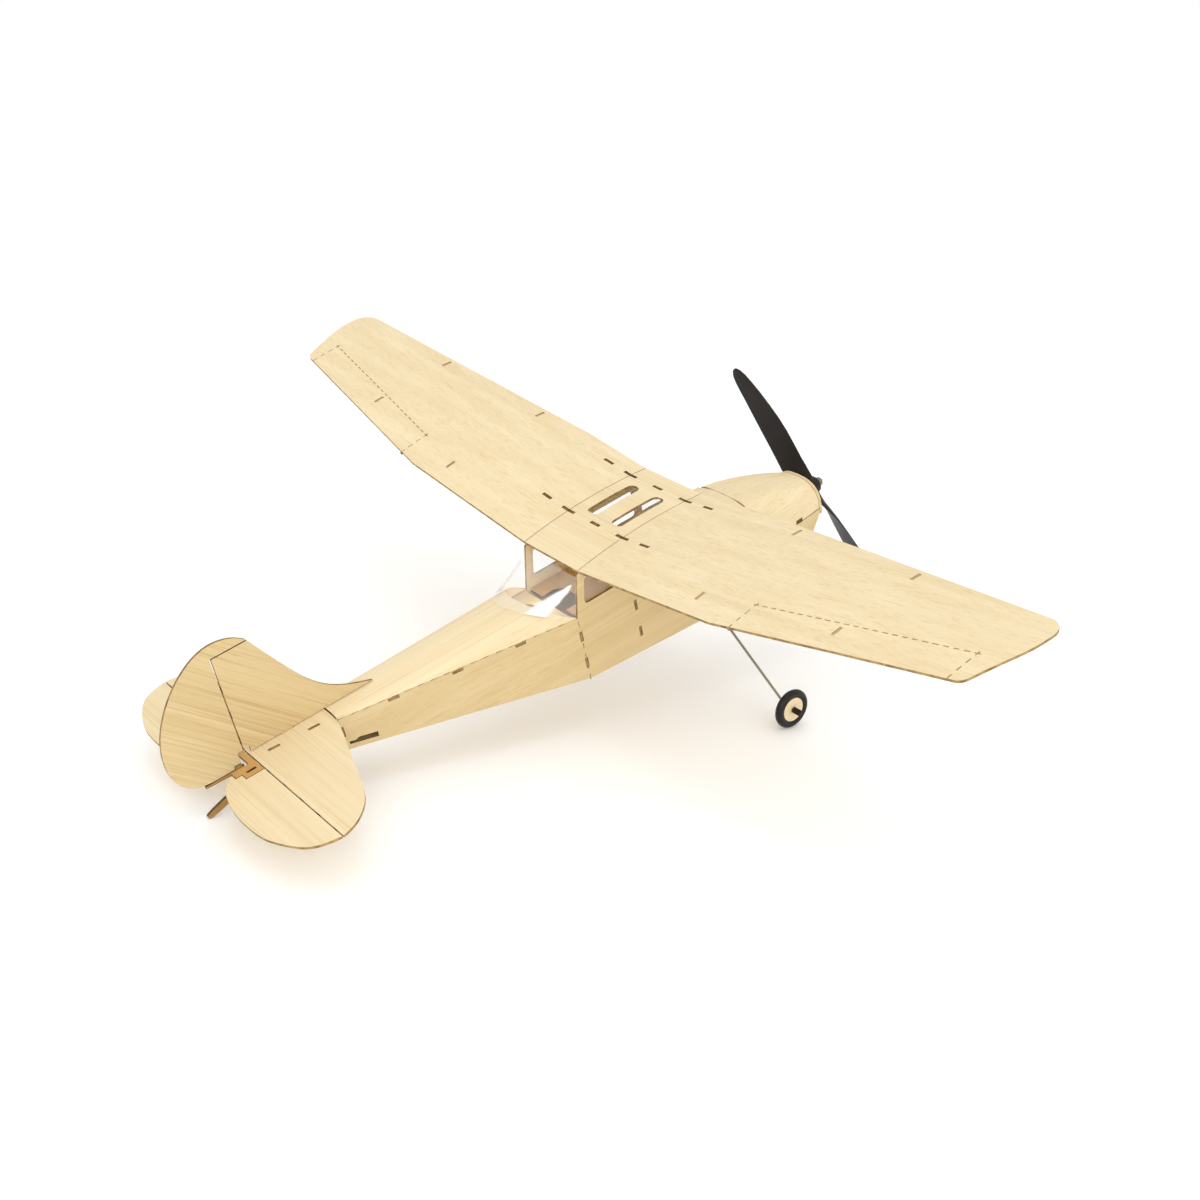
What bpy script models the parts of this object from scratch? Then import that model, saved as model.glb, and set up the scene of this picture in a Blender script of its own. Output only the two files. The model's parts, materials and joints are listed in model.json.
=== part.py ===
"""Small sheet-balsa cabin monoplane on a wire undercarriage.

The model is a laser-cut kit: flat balsa and plywood sheets, some of them bent or
wrapped round formers, with a clear cabin, a moulded two-blade propeller, O-ring
wheels and tail surfaces that swing on scored hinges.

Everything is drawn in the aircraft's own frame, in millimetres: the nose points
along -Y, +X is the left (port) wing, +Z is up, and the origin is the front tab slot
in the middle of the wing. The whole aircraft then stands on its wheels and skid,
nose up, with the world origin on the floor under the middle of its box.
"""

from math import acos, asin, atan2, cos, hypot, pi, radians, sin, tan

import bmesh
import bpy
import numpy as np
from mathutils import Matrix, Vector
from mathutils.geometry import tessellate_polygon

MM = 0.001

# Stock and clearances
SHEET = 1.0
PLY = 1.5
THIN_PLY = 1.0
GLAZING = 0.4
GAP = 0.3
SLOT_FIT = 0.2
HINGE_GAP = 0.5

# Wing
HALF_SPAN = 200.0
CABIN_HALF_WIDTH = 16.6
PANEL_JOINT_X = CABIN_HALF_WIDTH
DIHEDRAL_SLOPE = 0.1295
WING_LE_Y = -7.7
WING_TE_Y = 53.6
LE_TAPER_X = 51.0
TE_TAPER_X = 91.7
TIP_LE_Y = 1.9
TIP_TE_Y = 40.2
TIP_INSET = 8.0
TIP_ROUND = (9.0, 40.0, 4.0)
BRACE_FRONT_Y = 0.0
BRACE_REAR_Y = 31.4
BRACE_DEPTH = 2.6
BRACE_REACH_X = PANEL_JOINT_X + 17.4
BRACE_END_DEPTH = 1.0
CAMBER = 0.0022
CAMBER_STRIPS = 9
TAB_LENGTH = 5.0
OUTER_TAB_REACH = 13.4
INNER_RIB_X = 77.0
OUTER_RIB_X = 138.0
RIB_DEPTH = 1.0
RIB_END_INSET = (1.5, 3.0)
RIB_TAB_INSET = (4.2, 9.2)
ROOF_SLOT_X = (4.4, 10.4)
ROOF_SLOT_Y = (4.5, 27.4)
ROOF_SLOT_ROUND = (2.4, 1.4)

# Fuselage
NOSE_HALF_WIDTH = 12.5
TAIL_HALF_WIDTH = 5.0
NOSE_Y = -69.2
COWL_REAR_Y = -30.6
DASH_REAR_Y = -23.0
SHOULDER_Y = -8.0
CABIN_REAR_Y = 58.0
TAIL_Y = 188.0
DECK_REAR_Y = TAIL_Y - 31.3
BELLY_BREAK_Y = TAIL_Y - 32.5
COWL_JOINT_Z = -41.0
DASH_JOINT_Z = -21.8
WINDOW_SILL_Z = -17.7
WINDOW_HEAD_Z = -6.0
WINDOW_ROUND = 1.5
WINDOW_FRONT_ROUND = 1.0
WINDOW_POST = 3.2
WINDSCREEN_LEAN = 8.0
POST_TOP_Y = 54.2
POST_WIDTH = 3.4
CABIN_JOINT_Z = -21.6
DECK_REAR_JOINT_Z = -12.2
# The rolled deck's inner edge dips as the sheet thickens, so the sides stop lower to clear it
SIDE_TOP_DROP = 0.45 * SHEET - GAP
RIDGE_Z = (-11.1, -10.45)
DECK_ROUND = 0.9
REAR_WINDOW_CUT = 15.0
REAR_WINDOW_LAP = 21.0
NOSE_TOP_Z = -29.2
NOSE_FOOT_Z = -44.2
COWL_TOP_Z = -18.4
COWL_FULLNESS = 1.5
COWL_CROWN = 0.9
DASH_TOP_Z = -17.4
DASH_DROP = 2.6
FORMER_TAB = 4.0
FORMER_WINDOW = ((-9.0, -46.0), (9.0, -29.0))
CABLE_HOLE_Z = -40.0
CABLE_HOLE_RADIUS = 6.0
MID_FORMER_TABS_Z = (-30.6, -42.9)
REAR_FORMER_TABS_Z = (-30.1, -42.2)
TAIL_FORMER_Y = TAIL_Y - 31.8
TAIL_FORMER_TAB_Z = -18.1
GEAR_PLATE_Y = (-14.0, 3.4)
CRUTCH_TABS = (0.251, 0.517, 0.779)
CRUTCH_HOLES = (0.142, 0.385, 0.648)
CRUTCH_HOLE_WALL = 4.0
PUSHROD_EXIT_Y = (TAIL_Y - 44.0, TAIL_Y - 37.0, TAIL_Y - 35.5, TAIL_Y - 33.0)
PUSHROD_EXIT_RISE = (2.0, 4.1, 3.2)
TRAY_TOP_Z = -22.4
TRAY_FRONT_Y = -6.0
TRAY_NOTCH = (7.5, 9.0)
TRAY_SLOT_PLACE = (9.5, 15.0)
TRAY_SLOT_SIZE = (1.8, 12.0)

# Motor and propeller
THRUST_Z = -38.5
PROP_Y = -77.2
PROP_RADIUS = 59.0
PROP_PITCH = 47.0
PROP_REST_ANGLE = 41.7
# Blade outline: radius, then how far the blade reaches ahead of and behind its axis, as
# shares of the propeller's radius
BLADE_OUTLINE = ((0.027, 0.030, 0.030), (0.054, 0.044, 0.044), (0.100, 0.088, 0.046),
                 (0.150, 0.116, 0.050), (0.213, 0.126, 0.056), (0.305, 0.124, 0.071),
                 (0.424, 0.119, 0.088), (0.525, 0.113, 0.095), (0.644, 0.102, 0.092),
                 (0.763, 0.088, 0.083), (0.847, 0.079, 0.071), (0.915, 0.070, 0.058),
                 (0.966, 0.054, 0.038), (0.993, 0.031, 0.017), (1.000, 0.015, 0.005))
BLADE_THICKNESS = (1.5, 0.45)
BLADE_TWIST_FROM = 8.0
HUB_RADIUS = 3.6
HUB_LENGTH = 5.4
SHAFT_RADIUS = 0.75
MOTOR_RADIUS = 5.5
MOTOR_LENGTH = 17.0
MOTOR_BOSS = 2.2
MOTOR_FORMER_SETBACK = 3.6
SHAFT_END = 3.4
COLLAR_LENGTH = 3.3
NOSE_PLATE = 1.2
NOSE_HOLE_RADIUS = 2.3

# Undercarriage
WHEEL_X = 54.0
WHEEL_Y = -6.2
WHEEL_Z = -86.0
WHEEL_RADIUS = 8.1
TYRE_SECTION = 1.6
WHEEL_WIDTH = 2.4
WIRE_RADIUS = 0.5
AXLE_CLEARANCE = 0.3
WIRE_BEND = 2.0
WIRE_BAR_Y = -7.0
WIRE_BAR_HALF = CABIN_HALF_WIDTH - 2.0
WIRE_LEG_INSET = 3.4
AXLE_STUB = 3.4
CAP_RADIUS = 1.25
STRAP_HALF_DEPTH = 5.0
STRAP_LENGTH = 22.0

# Tail
STAB_TOP_Z = -10.5
STAB_FRONT_Y = TAIL_Y - 30.6
STAB_HALF_SPAN = 64.2
STAB_SHOULDER = (9.0, 14.8)
STAB_TIP_Y = TAIL_Y - 4.3
STAB_TABS_Y = (TAIL_Y - 22.9, TAIL_Y - 7.5)
STAB_ROUND = (12.0, 14.0, 9.0)
ELEVATOR_HINGE_Y = TAIL_Y + 0.4
ELEVATOR_TIP = (2.2, 10.8, 13.0)
ELEVATOR_REAR = ((19.2, 18.9, 22.0), (37.2, 19.4, 40.0))
ELEVATOR_INNER = ((4.6, 15.6, 8.0), (1.6, 11.7))
JOINER_LEG_X = (5.8, 12.5)
JOINER_BAR = 2.5
JOINER_STEPS = (3.1, 6.8, 9.3)
HORN_SLOT = (1.2, 3.8)
RUDDER_HINGE_Y = TAIL_Y + 1.4
RUDDER_FRONT_CUT = 2.4
# Outlines of the rudder and fin: distance behind the rudder's hinge, and height
RUDDER_TRAILING = ((-10.4, 33.9), (-0.4, 35.7), (9.6, 31.8), (19.2, 22.6), (25.6, 11.0),
                   (27.1, -0.5), (24.4, -9.6), (17.5, -13.8))
FIN_LEADING = ((-43.8, -6.9), (-36.5, -2.7), (-30.2, 3.7), (-23.2, 14.4))
FIN_FRONT_Y = RUDDER_HINGE_Y - 52.8
BALANCE_FRONT_Y = RUDDER_HINGE_Y - 13.8
FIN_TOP_Z = 30.2
FIN_TAB_Y = TAIL_Y - 15.5
FIN_FOOT_NOTCH = (2.2, 2.0)
INSERT_REAR_Y = RUDDER_HINGE_Y + 16.7
INSERT_TAB_REAR_Y = RUDDER_HINGE_Y + 4.8
INSERT_DROP = (2.4, 1.3)
INSERT_DEPTH = (0.9, 1.8)
STERNPOST_DEPTH = 3.0
STERNPOST_SETBACK = 4.0
STERNPOST_FOOT_Z = -17.4
SKID_TIP = (TAIL_Y + 20.6, -26.4)
SKID_FRONT_Y = TAIL_Y - 12.5
SKID_ROOT_Z = (-18.0, -22.6)
SKID_THICKNESS = 1.2

COLOURS = {
    "balsa": ((0.80, 0.66, 0.43), 0.75, 0.0, 1.0),
    "plywood": ((0.50, 0.31, 0.12), 0.7, 0.0, 1.0),
    "acetate": ((0.9, 0.93, 0.93), 0.08, 0.0, 0.25),
    "black_plastic": ((0.03, 0.025, 0.022), 0.4, 0.0, 1.0),
    "rubber": ((0.015, 0.014, 0.013), 0.8, 0.0, 1.0),
    "steel_wire": ((0.35, 0.33, 0.27), 0.35, 1.0, 1.0),
    "motor_can": ((0.45, 0.45, 0.46), 0.3, 1.0, 1.0),
}


# ---------------------------------------------------------------------------
# Scene, materials and mesh helpers
# ---------------------------------------------------------------------------

def clear_scene():
    for obj in list(bpy.data.objects):
        bpy.data.objects.remove(obj, do_unlink=True)


def material(node_name, stock):
    """Give a sub-part its own Principled material in its stock's colour."""
    colour, roughness, metallic, alpha = COLOURS[stock]
    made = bpy.data.materials.new(node_name + "_" + stock)
    made.use_nodes = True
    shader = made.node_tree.nodes["Principled BSDF"]
    shader.inputs["Base Color"].default_value = (*colour, 1.0)
    shader.inputs["Roughness"].default_value = roughness
    shader.inputs["Metallic"].default_value = metallic
    shader.inputs["Alpha"].default_value = alpha
    made.diffuse_color = (*colour, alpha)
    return made


def empty(name, place, parent=None):
    """Pivot or frame at a place given in millimetres in its parent's axes."""
    pivot = bpy.data.objects.new(name, None)
    pivot.location = Vector(place) * MM
    pivot.parent = parent
    bpy.context.collection.objects.link(pivot)
    return pivot


class Body:
    """A rigid group: its frame, and where that frame lies in the aircraft."""

    def __init__(self, name, place, parent=None):
        self.place = Vector(place)
        start = parent.place if parent else Vector()
        self.frame = empty(name, self.place - start, parent.frame if parent else None)

    def add(self, name, mesh, stock, smooth_angle=None):
        """Link a mesh drawn in aircraft millimetres as a named piece of this body."""
        mesh.transform(Matrix.Scale(MM, 4) @ Matrix.Translation(-self.place))
        mesh.name = name
        mesh.materials.append(material(name, stock))
        if smooth_angle is not None:
            mesh.shade_smooth()
            mesh.set_sharp_from_angle(angle=radians(smooth_angle))
        obj = bpy.data.objects.new(name, mesh)
        obj.parent = self.frame
        bpy.context.collection.objects.link(obj)
        return obj


def to_mesh(bm):
    """Close a bmesh off as a mesh with outward faces."""
    bmesh.ops.recalc_face_normals(bm, faces=bm.faces)
    if bm.calc_volume(signed=True) < 0.0:
        bmesh.ops.reverse_faces(bm, faces=bm.faces)
    mesh = bpy.data.meshes.new("piece")
    bm.to_mesh(mesh)
    bm.free()
    return mesh


def sheet(outline, holes, thickness, place, bends=()):
    """Laser-cut sheet, bent at the given u stations and laid out by place(u, v, w).

    The outline and holes are loops of (u, v), and w runs through the thickness.
    """
    loops = [[Vector((u, v, 0.0)) for u, v in loop] for loop in [outline, *holes]]
    bm = bmesh.new()
    lower = [bm.verts.new(point) for loop in loops for point in loop]
    upper = [bm.verts.new((vert.co.x, vert.co.y, thickness)) for vert in lower]
    for triangle in tessellate_polygon(loops):
        bm.faces.new([lower[index] for index in triangle])
        bm.faces.new([upper[index] for index in reversed(triangle)])
    start = 0
    for loop in loops:
        count = len(loop)
        for index in range(count):
            here, after = start + index, start + (index + 1) % count
            bm.faces.new((lower[here], lower[after], upper[after], upper[here]))
        start += count
    for axis, stations in bends:
        normal = Vector((1.0, 0.0, 0.0)) if axis == 0 else Vector((0.0, 1.0, 0.0))
        for station in stations:
            every = bm.verts[:] + bm.edges[:] + bm.faces[:]
            bmesh.ops.bisect_plane(bm, geom=every, plane_co=normal * station, plane_no=normal, dist=1e-5)
    bmesh.ops.triangulate(bm, faces=bm.faces[:])
    for vert in bm.verts:
        vert.co = place(*vert.co)
    return to_mesh(bm)


def across(depth_from):
    """Place a sheet standing across the fuselage: u is X, v is Z, w runs aft."""
    return lambda u, v, w: (u, depth_from + w, v)


def lengthwise(x_from):
    """Place a sheet standing along the fuselage: u is Y, v is Z, w runs to port."""
    return lambda u, v, w: (x_from + w, u, v)


def level(z_from):
    """Place a level sheet: u is X, v is Y, w runs up."""
    return lambda u, v, w: (u, v, z_from + w)


def rounded(corners, steps=4):
    """Closed outline from (u, v) or (u, v, radius) corners, with arcs at the radii."""
    outline = []
    for index, corner in enumerate(corners):
        here = Vector(corner[:2])
        if len(corner) == 2:
            outline.append(tuple(here))
            continue
        back = Vector(corners[index - 1][:2]) - here
        ahead = Vector(corners[(index + 1) % len(corners)][:2]) - here
        half = back.angle(ahead) / 2
        reach = min(corner[2] / tan(half), 0.48 * back.length, 0.48 * ahead.length)
        radius = reach * tan(half)
        centre = here + (back.normalized() + ahead.normalized()).normalized() * (radius / sin(half))
        start = here + back.normalized() * reach - centre
        end = here + ahead.normalized() * reach - centre
        first = atan2(start.y, start.x)
        sweep = (atan2(end.y, end.x) - first + pi) % (2 * pi) - pi
        for step in range(steps + 1):
            angle = first + sweep * step / steps
            outline.append((centre.x + radius * cos(angle), centre.y + radius * sin(angle)))
    return outline


def flowing(points, steps=4):
    """Smooth open curve through the points (Catmull-Rom), as a list of points."""
    path = [Vector(point) for point in points]
    path = [2 * path[0] - path[1], *path, 2 * path[-1] - path[-2]]
    curve = []
    for index in range(1, len(path) - 2):
        a, b, c, d = path[index - 1:index + 3]
        for step in range(steps):
            t = step / steps
            curve.append(tuple(0.5 * (2 * b + (c - a) * t + (2 * a - 5 * b + 4 * c - d) * t * t
                                      + (3 * b - a - 3 * c + d) * t ** 3)))
    curve.append(tuple(path[-2]))
    return curve


def box_hole(centre_u, centre_v, size_u, size_v):
    """Rectangular loop about a centre."""
    half_u, half_v = size_u / 2, size_v / 2
    return [(centre_u - half_u, centre_v - half_v), (centre_u + half_u, centre_v - half_v),
            (centre_u + half_u, centre_v + half_v), (centre_u - half_u, centre_v + half_v)]


def circle(centre_u, centre_v, radius, sides=24):
    return [(centre_u + radius * cos(2 * pi * k / sides), centre_v + radius * sin(2 * pi * k / sides))
            for k in range(sides)]


def mirrored(points):
    """The same loop on the other side of u = 0."""
    return [(-u, v) for u, v in reversed(points)]


def shell(surface, thickness):
    """Closed thin wall: a grid of surface points and its copy pushed in by the thickness."""
    outer = np.array(surface, dtype=float)
    along = np.gradient(outer, axis=0)
    around = np.gradient(outer, axis=1)
    normal = np.cross(along, around)
    normal /= np.linalg.norm(normal, axis=2, keepdims=True)
    inner = outer - normal * thickness
    rows, columns = outer.shape[:2]
    bm = bmesh.new()
    faces_of = []
    for grid in (outer, inner):
        faces_of.append([[bm.verts.new(grid[i, j]) for j in range(columns)] for i in range(rows)])
    for grid in faces_of:
        for i in range(rows - 1):
            for j in range(columns - 1):
                bm.faces.new((grid[i][j], grid[i + 1][j], grid[i + 1][j + 1], grid[i][j + 1]))
    top, under = faces_of
    for j in range(columns - 1):
        for i in (0, rows - 1):
            bm.faces.new((top[i][j], top[i][j + 1], under[i][j + 1], under[i][j]))
    for i in range(rows - 1):
        for j in (0, columns - 1):
            bm.faces.new((top[i][j], top[i + 1][j], under[i + 1][j], under[i][j]))
    bmesh.ops.triangulate(bm, faces=bm.faces[:])
    return to_mesh(bm)


def turned(profile, place, sides=32):
    """Solid of revolution from a closed (radius, height) profile, set out by place(x, y, height).

    Points on the axis become poles, and a profile that never touches the axis is a ring.
    """
    bm = bmesh.new()
    rings = []
    for radius, height in profile:
        if radius == 0.0:
            rings.append([bm.verts.new(place(0.0, 0.0, height))])
            continue
        turn = [2 * pi * k / sides for k in range(sides)]
        rings.append([bm.verts.new(place(radius * cos(a), radius * sin(a), height)) for a in turn])
    for first, second in zip(rings, rings[1:] + rings[:1]):
        for k in range(sides):
            after = (k + 1) % sides
            corners = [first[k % len(first)], first[after % len(first)],
                       second[after % len(second)], second[k % len(second)]]
            distinct = list(dict.fromkeys(corners))
            if len(distinct) > 2:
                bm.faces.new(distinct)
    return to_mesh(bm)


# ---------------------------------------------------------------------------
# The aircraft's lines
# ---------------------------------------------------------------------------

TAIL_TOP_Z = STAB_TOP_Z - SHEET - GAP
FIN_BASE_Z = STAB_TOP_Z + GAP
INSERT_TOP_Z = STAB_TOP_Z - SHEET - INSERT_DROP[0]
INSERT_TAB_Z = STAB_TOP_Z - SHEET - INSERT_DROP[1]
CRUTCH_LENGTH = DECK_REAR_Y - CABIN_REAR_Y
CRUTCH_TABS_Y = tuple(CABIN_REAR_Y + share * CRUTCH_LENGTH for share in CRUTCH_TABS)
CRUTCH_HOLES_Y = tuple(CABIN_REAR_Y + share * CRUTCH_LENGTH for share in CRUTCH_HOLES)


def between(value, stations):
    """Straight-line reading of a list of (station, height) knots."""
    return float(np.interp(value, [s for s, _ in stations], [h for _, h in stations]))


WIDTH_LINE = [(NOSE_Y, NOSE_HALF_WIDTH), (SHOULDER_Y, CABIN_HALF_WIDTH),
              (CABIN_REAR_Y, CABIN_HALF_WIDTH), (TAIL_Y, TAIL_HALF_WIDTH)]
BELLY_LINE = [(NOSE_Y, -43.0), (-64.0, -49.5), (-56.0, -55.2), (GEAR_PLATE_Y[1] + GAP / 2, -54.5),
              (CABIN_REAR_Y, -49.7), (BELLY_BREAK_Y, -26.0), (TAIL_Y, -18.0)]


def half_width(y):
    """Outside half-width of the fuselage at a station."""
    return between(y, WIDTH_LINE)


def inside(y):
    """Half-width left for a piece that fits between the fuselage sides."""
    return half_width(y) - SHEET - GAP


def belly(y):
    """Underside of the fuselage at a station."""
    return between(y, BELLY_LINE)


def spine_joint(y):
    """Where the fuselage side meets the turtle deck."""
    return between(y, [(CABIN_REAR_Y, CABIN_JOINT_Z), (DECK_REAR_Y, DECK_REAR_JOINT_Z)])


def wing_top(x, y):
    """Upper surface of the cambered wing sheet, with its dihedral."""
    rise = DIHEDRAL_SLOPE * max(0.0, abs(x) - PANEL_JOINT_X)
    return rise - CAMBER * (y - BRACE_FRONT_Y) * (y - BRACE_REAR_Y)


def wing_under(x, y):
    return wing_top(x, y) - SHEET


def deck_arch(y, angle, inset=0.0):
    """Point on the turtle deck's half-oval section at a station."""
    wide = half_width(y) - inset
    base = spine_joint(y)
    ridge = between(y, [(CABIN_REAR_Y, RIDGE_Z[0]), (DECK_REAR_Y, RIDGE_Z[1])])
    foot = base + GAP / 2
    rise = max(ridge - inset - foot, 0.2) * max(sin(angle), 0.0) ** DECK_ROUND
    return wide * cos(angle), y, foot + rise


def cowl_arch(y, angle, inset=0.0):
    """Point on the cowl's section, which squares off towards the cabin."""
    t = (y - NOSE_Y) / (COWL_REAR_Y - NOSE_Y)
    power = 3.0 + 5.5 * t
    top = COWL_TOP_Z + (NOSE_TOP_Z - COWL_TOP_Z) * (1 - t) ** COWL_FULLNESS
    wide = half_width(y) - inset
    tall = top - COWL_JOINT_Z - inset
    x = wide * abs(cos(angle)) ** (2 / power) * (1 if cos(angle) >= 0 else -1)
    crown = COWL_CROWN * (x / wide) ** 2 * sin(angle)
    rise = (tall - GAP / 2) * max(sin(angle), 0.0) ** (2 / power)
    return x, y, COWL_JOINT_Z + GAP / 2 + rise - crown


def dash_height(x, y):
    """Upper surface of the domed deck in front of the windscreen."""
    top = between(y, [(COWL_REAR_Y, COWL_TOP_Z), (DASH_REAR_Y, DASH_TOP_Z)])
    return top - DASH_DROP * (abs(x) / half_width(y)) ** 2.5


# ---------------------------------------------------------------------------
# Wing
# ---------------------------------------------------------------------------

CAMBER_STATIONS = tuple(WING_LE_Y + (WING_TE_Y - WING_LE_Y) * k / CAMBER_STRIPS
                        for k in range(1, CAMBER_STRIPS))


def on_wing(u, v, w):
    """Lay a flat wing blank on the cambered surface, w up through the sheet."""
    return u, v, wing_under(u, v) + w


def wing_panel(side):
    """Outer wing sheet, with notches on the root joint and slots for its ribs."""
    root = PANEL_JOINT_X + GAP / 2
    notch = (TAB_LENGTH + 2) / 2 + SLOT_FIT
    half_slot = SHEET / 2 + SLOT_FIT
    outline = [(root, WING_LE_Y), (LE_TAPER_X, WING_LE_Y)]
    front_round, end_round, rear_round = TIP_ROUND
    tip = rounded([(LE_TAPER_X, WING_LE_Y), (HALF_SPAN + 0.4, TIP_LE_Y, front_round),
                   (HALF_SPAN, TIP_LE_Y + 0.4 * (TIP_TE_Y - TIP_LE_Y), end_round),
                   (HALF_SPAN - TIP_INSET, TIP_TE_Y, rear_round), (TE_TAPER_X, WING_TE_Y)], steps=6)
    outline += tip[1:] + [(root, WING_TE_Y)]
    for y in (BRACE_REAR_Y, BRACE_FRONT_Y):
        outline += [(root, y + half_slot), (PANEL_JOINT_X + notch, y + half_slot),
                    (PANEL_JOINT_X + notch, y - half_slot), (root, y - half_slot)]
    holes = [box_hole(outer_tab_x(), y, TAB_LENGTH + 2 * SLOT_FIT, SHEET + 2 * SLOT_FIT)
             for y in (BRACE_FRONT_Y, BRACE_REAR_Y)]
    for rib_x in (INNER_RIB_X, OUTER_RIB_X):
        holes += [box_hole(rib_x, y, SHEET + 2 * SLOT_FIT, TAB_LENGTH - 1 + 2 * SLOT_FIT)
                  for y in rib_tabs(rib_x)]
    if side < 0:
        outline = mirrored(outline)
        holes = [mirrored(hole) for hole in holes]
    return sheet(outline, holes, SHEET, on_wing, bends=[(1, CAMBER_STATIONS)])


def wing_edges(x):
    """Leading and trailing edge of the straight part of the wing at a span station."""
    front = between(x, [(LE_TAPER_X, WING_LE_Y), (HALF_SPAN, TIP_LE_Y)])
    rear = between(x, [(TE_TAPER_X, WING_TE_Y), (HALF_SPAN - TIP_INSET, TIP_TE_Y)])
    return front, rear


def rib_tabs(rib_x):
    """Chordwise stations of a rib's two tabs."""
    front, rear = wing_edges(rib_x)
    return front + RIB_TAB_INSET[0], rear - RIB_TAB_INSET[1]


def outer_tab_x():
    return PANEL_JOINT_X + OUTER_TAB_REACH


def wing_centre():
    """Wing sheet over the cabin, with brace slots and two roof slots."""
    edge = PANEL_JOINT_X - GAP / 2
    notch = PANEL_JOINT_X - (TAB_LENGTH + 2) / 2 - SLOT_FIT
    half_slot = SHEET / 2 + SLOT_FIT
    right_edge = [(edge, WING_LE_Y)]
    for y in (BRACE_FRONT_Y, BRACE_REAR_Y):
        right_edge += [(edge, y - half_slot), (notch, y - half_slot),
                       (notch, y + half_slot), (edge, y + half_slot)]
    right_edge.append((edge, WING_TE_Y))
    outline = right_edge + mirrored(right_edge)
    holes = [box_hole(0.0, y, TAB_LENGTH + 2 * SLOT_FIT, SHEET + 2 * SLOT_FIT)
             for y in (BRACE_FRONT_Y, BRACE_REAR_Y)]
    near, far = ROOF_SLOT_X
    front, rear = ROOF_SLOT_Y
    wide_end, narrow_end = ROOF_SLOT_ROUND
    slot = rounded([(near, front, wide_end), (far, front, wide_end),
                    (far, rear, narrow_end), (near, rear, narrow_end)], steps=4)
    holes += [slot, mirrored(slot)]
    return sheet(outline, holes, SHEET, on_wing, bends=[(1, CAMBER_STATIONS)])


def wing_brace(y):
    """Dihedral brace across the cabin, with tabs up through the wing."""
    def height(x, above):
        low_side = min(wing_under(x, y - SHEET / 2), wing_under(x, y + SHEET / 2))
        return low_side - GAP if not above else wing_top(x, y)

    tabs = [(-outer_tab_x(), TAB_LENGTH), (-PANEL_JOINT_X, TAB_LENGTH + 2), (0.0, TAB_LENGTH),
            (PANEL_JOINT_X, TAB_LENGTH + 2), (outer_tab_x(), TAB_LENGTH)]
    top = [(-BRACE_REACH_X, height(BRACE_REACH_X, False))]
    for centre, length in tabs:
        left, right = centre - length / 2, centre + length / 2
        top += [(left, height(left, False)), (left, height(left, True))]
        if left < -PANEL_JOINT_X < right or left < PANEL_JOINT_X < right:
            top.append((centre, height(centre, True)))
        top += [(right, height(right, True)), (right, height(right, False))]
    top.append((BRACE_REACH_X, height(BRACE_REACH_X, False)))
    depth = height(0.0, False) - BRACE_DEPTH
    end = height(BRACE_REACH_X, False) - BRACE_END_DEPTH
    bottom = [(BRACE_REACH_X, end), (PANEL_JOINT_X + 2, depth), (-PANEL_JOINT_X - 2, depth),
              (-BRACE_REACH_X, end)]
    return sheet(top + bottom, [], SHEET, across(y - SHEET / 2))


def rib(rib_x, side):
    """Flat-bottomed rib that holds the sheet's camber, with two tabs."""
    front, rear = wing_edges(rib_x)
    nose, tail = front + RIB_END_INSET[0], rear - RIB_END_INSET[1]
    lower_x = rib_x - SHEET / 2

    def contact(y):
        return wing_under(lower_x, y) - GAP

    tabs = rib_tabs(rib_x)
    half_tab = (TAB_LENGTH - 1) / 2
    marks = [nose, tabs[0] - half_tab, tabs[0] + half_tab]
    marks += [tabs[0] + half_tab + (tabs[1] - tabs[0] - 2 * half_tab) * k / 5 for k in range(1, 5)]
    marks += [tabs[1] - half_tab, tabs[1] + half_tab, tail]
    outline = []
    for y in marks:
        rising = any(abs(y - (tab - half_tab)) < 1e-6 for tab in tabs)
        falling = any(abs(y - (tab + half_tab)) < 1e-6 for tab in tabs)
        head = (y, wing_top(lower_x, y) - 0.05)
        foot = (y, contact(y))
        if rising:
            outline += [foot, head]
        elif falling:
            outline += [head, foot]
        else:
            outline.append(foot)
    chord = min(contact(nose), contact(tail)) - RIB_DEPTH
    outline += [(tail, chord), (nose + 2.0, chord - 0.8 * RIB_DEPTH), (nose, chord)]
    return sheet(outline, [], SHEET, lengthwise(side * rib_x - SHEET / 2))


def add_wing(airframe):
    airframe.add("wing_centre_section", wing_centre(), "balsa")
    for y, name in ((BRACE_FRONT_Y, "front_wing_brace"), (BRACE_REAR_Y, "rear_wing_brace")):
        airframe.add(name, wing_brace(y), "plywood")
    for side, hand in ((1, "left"), (-1, "right")):
        airframe.add("wing_panel_" + hand, wing_panel(side), "balsa")
        airframe.add("inner_rib_" + hand, rib(INNER_RIB_X, side), "balsa")
        airframe.add("outer_rib_" + hand, rib(OUTER_RIB_X, side), "balsa")


# ---------------------------------------------------------------------------
# Fuselage
# ---------------------------------------------------------------------------

def former_slots(y, tab_heights):
    """Slots in the fuselage side for the tabs of a former."""
    return [box_hole(y, z, SHEET + 2 * SLOT_FIT, FORMER_TAB + 2 * SLOT_FIT) for z in tab_heights]


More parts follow.
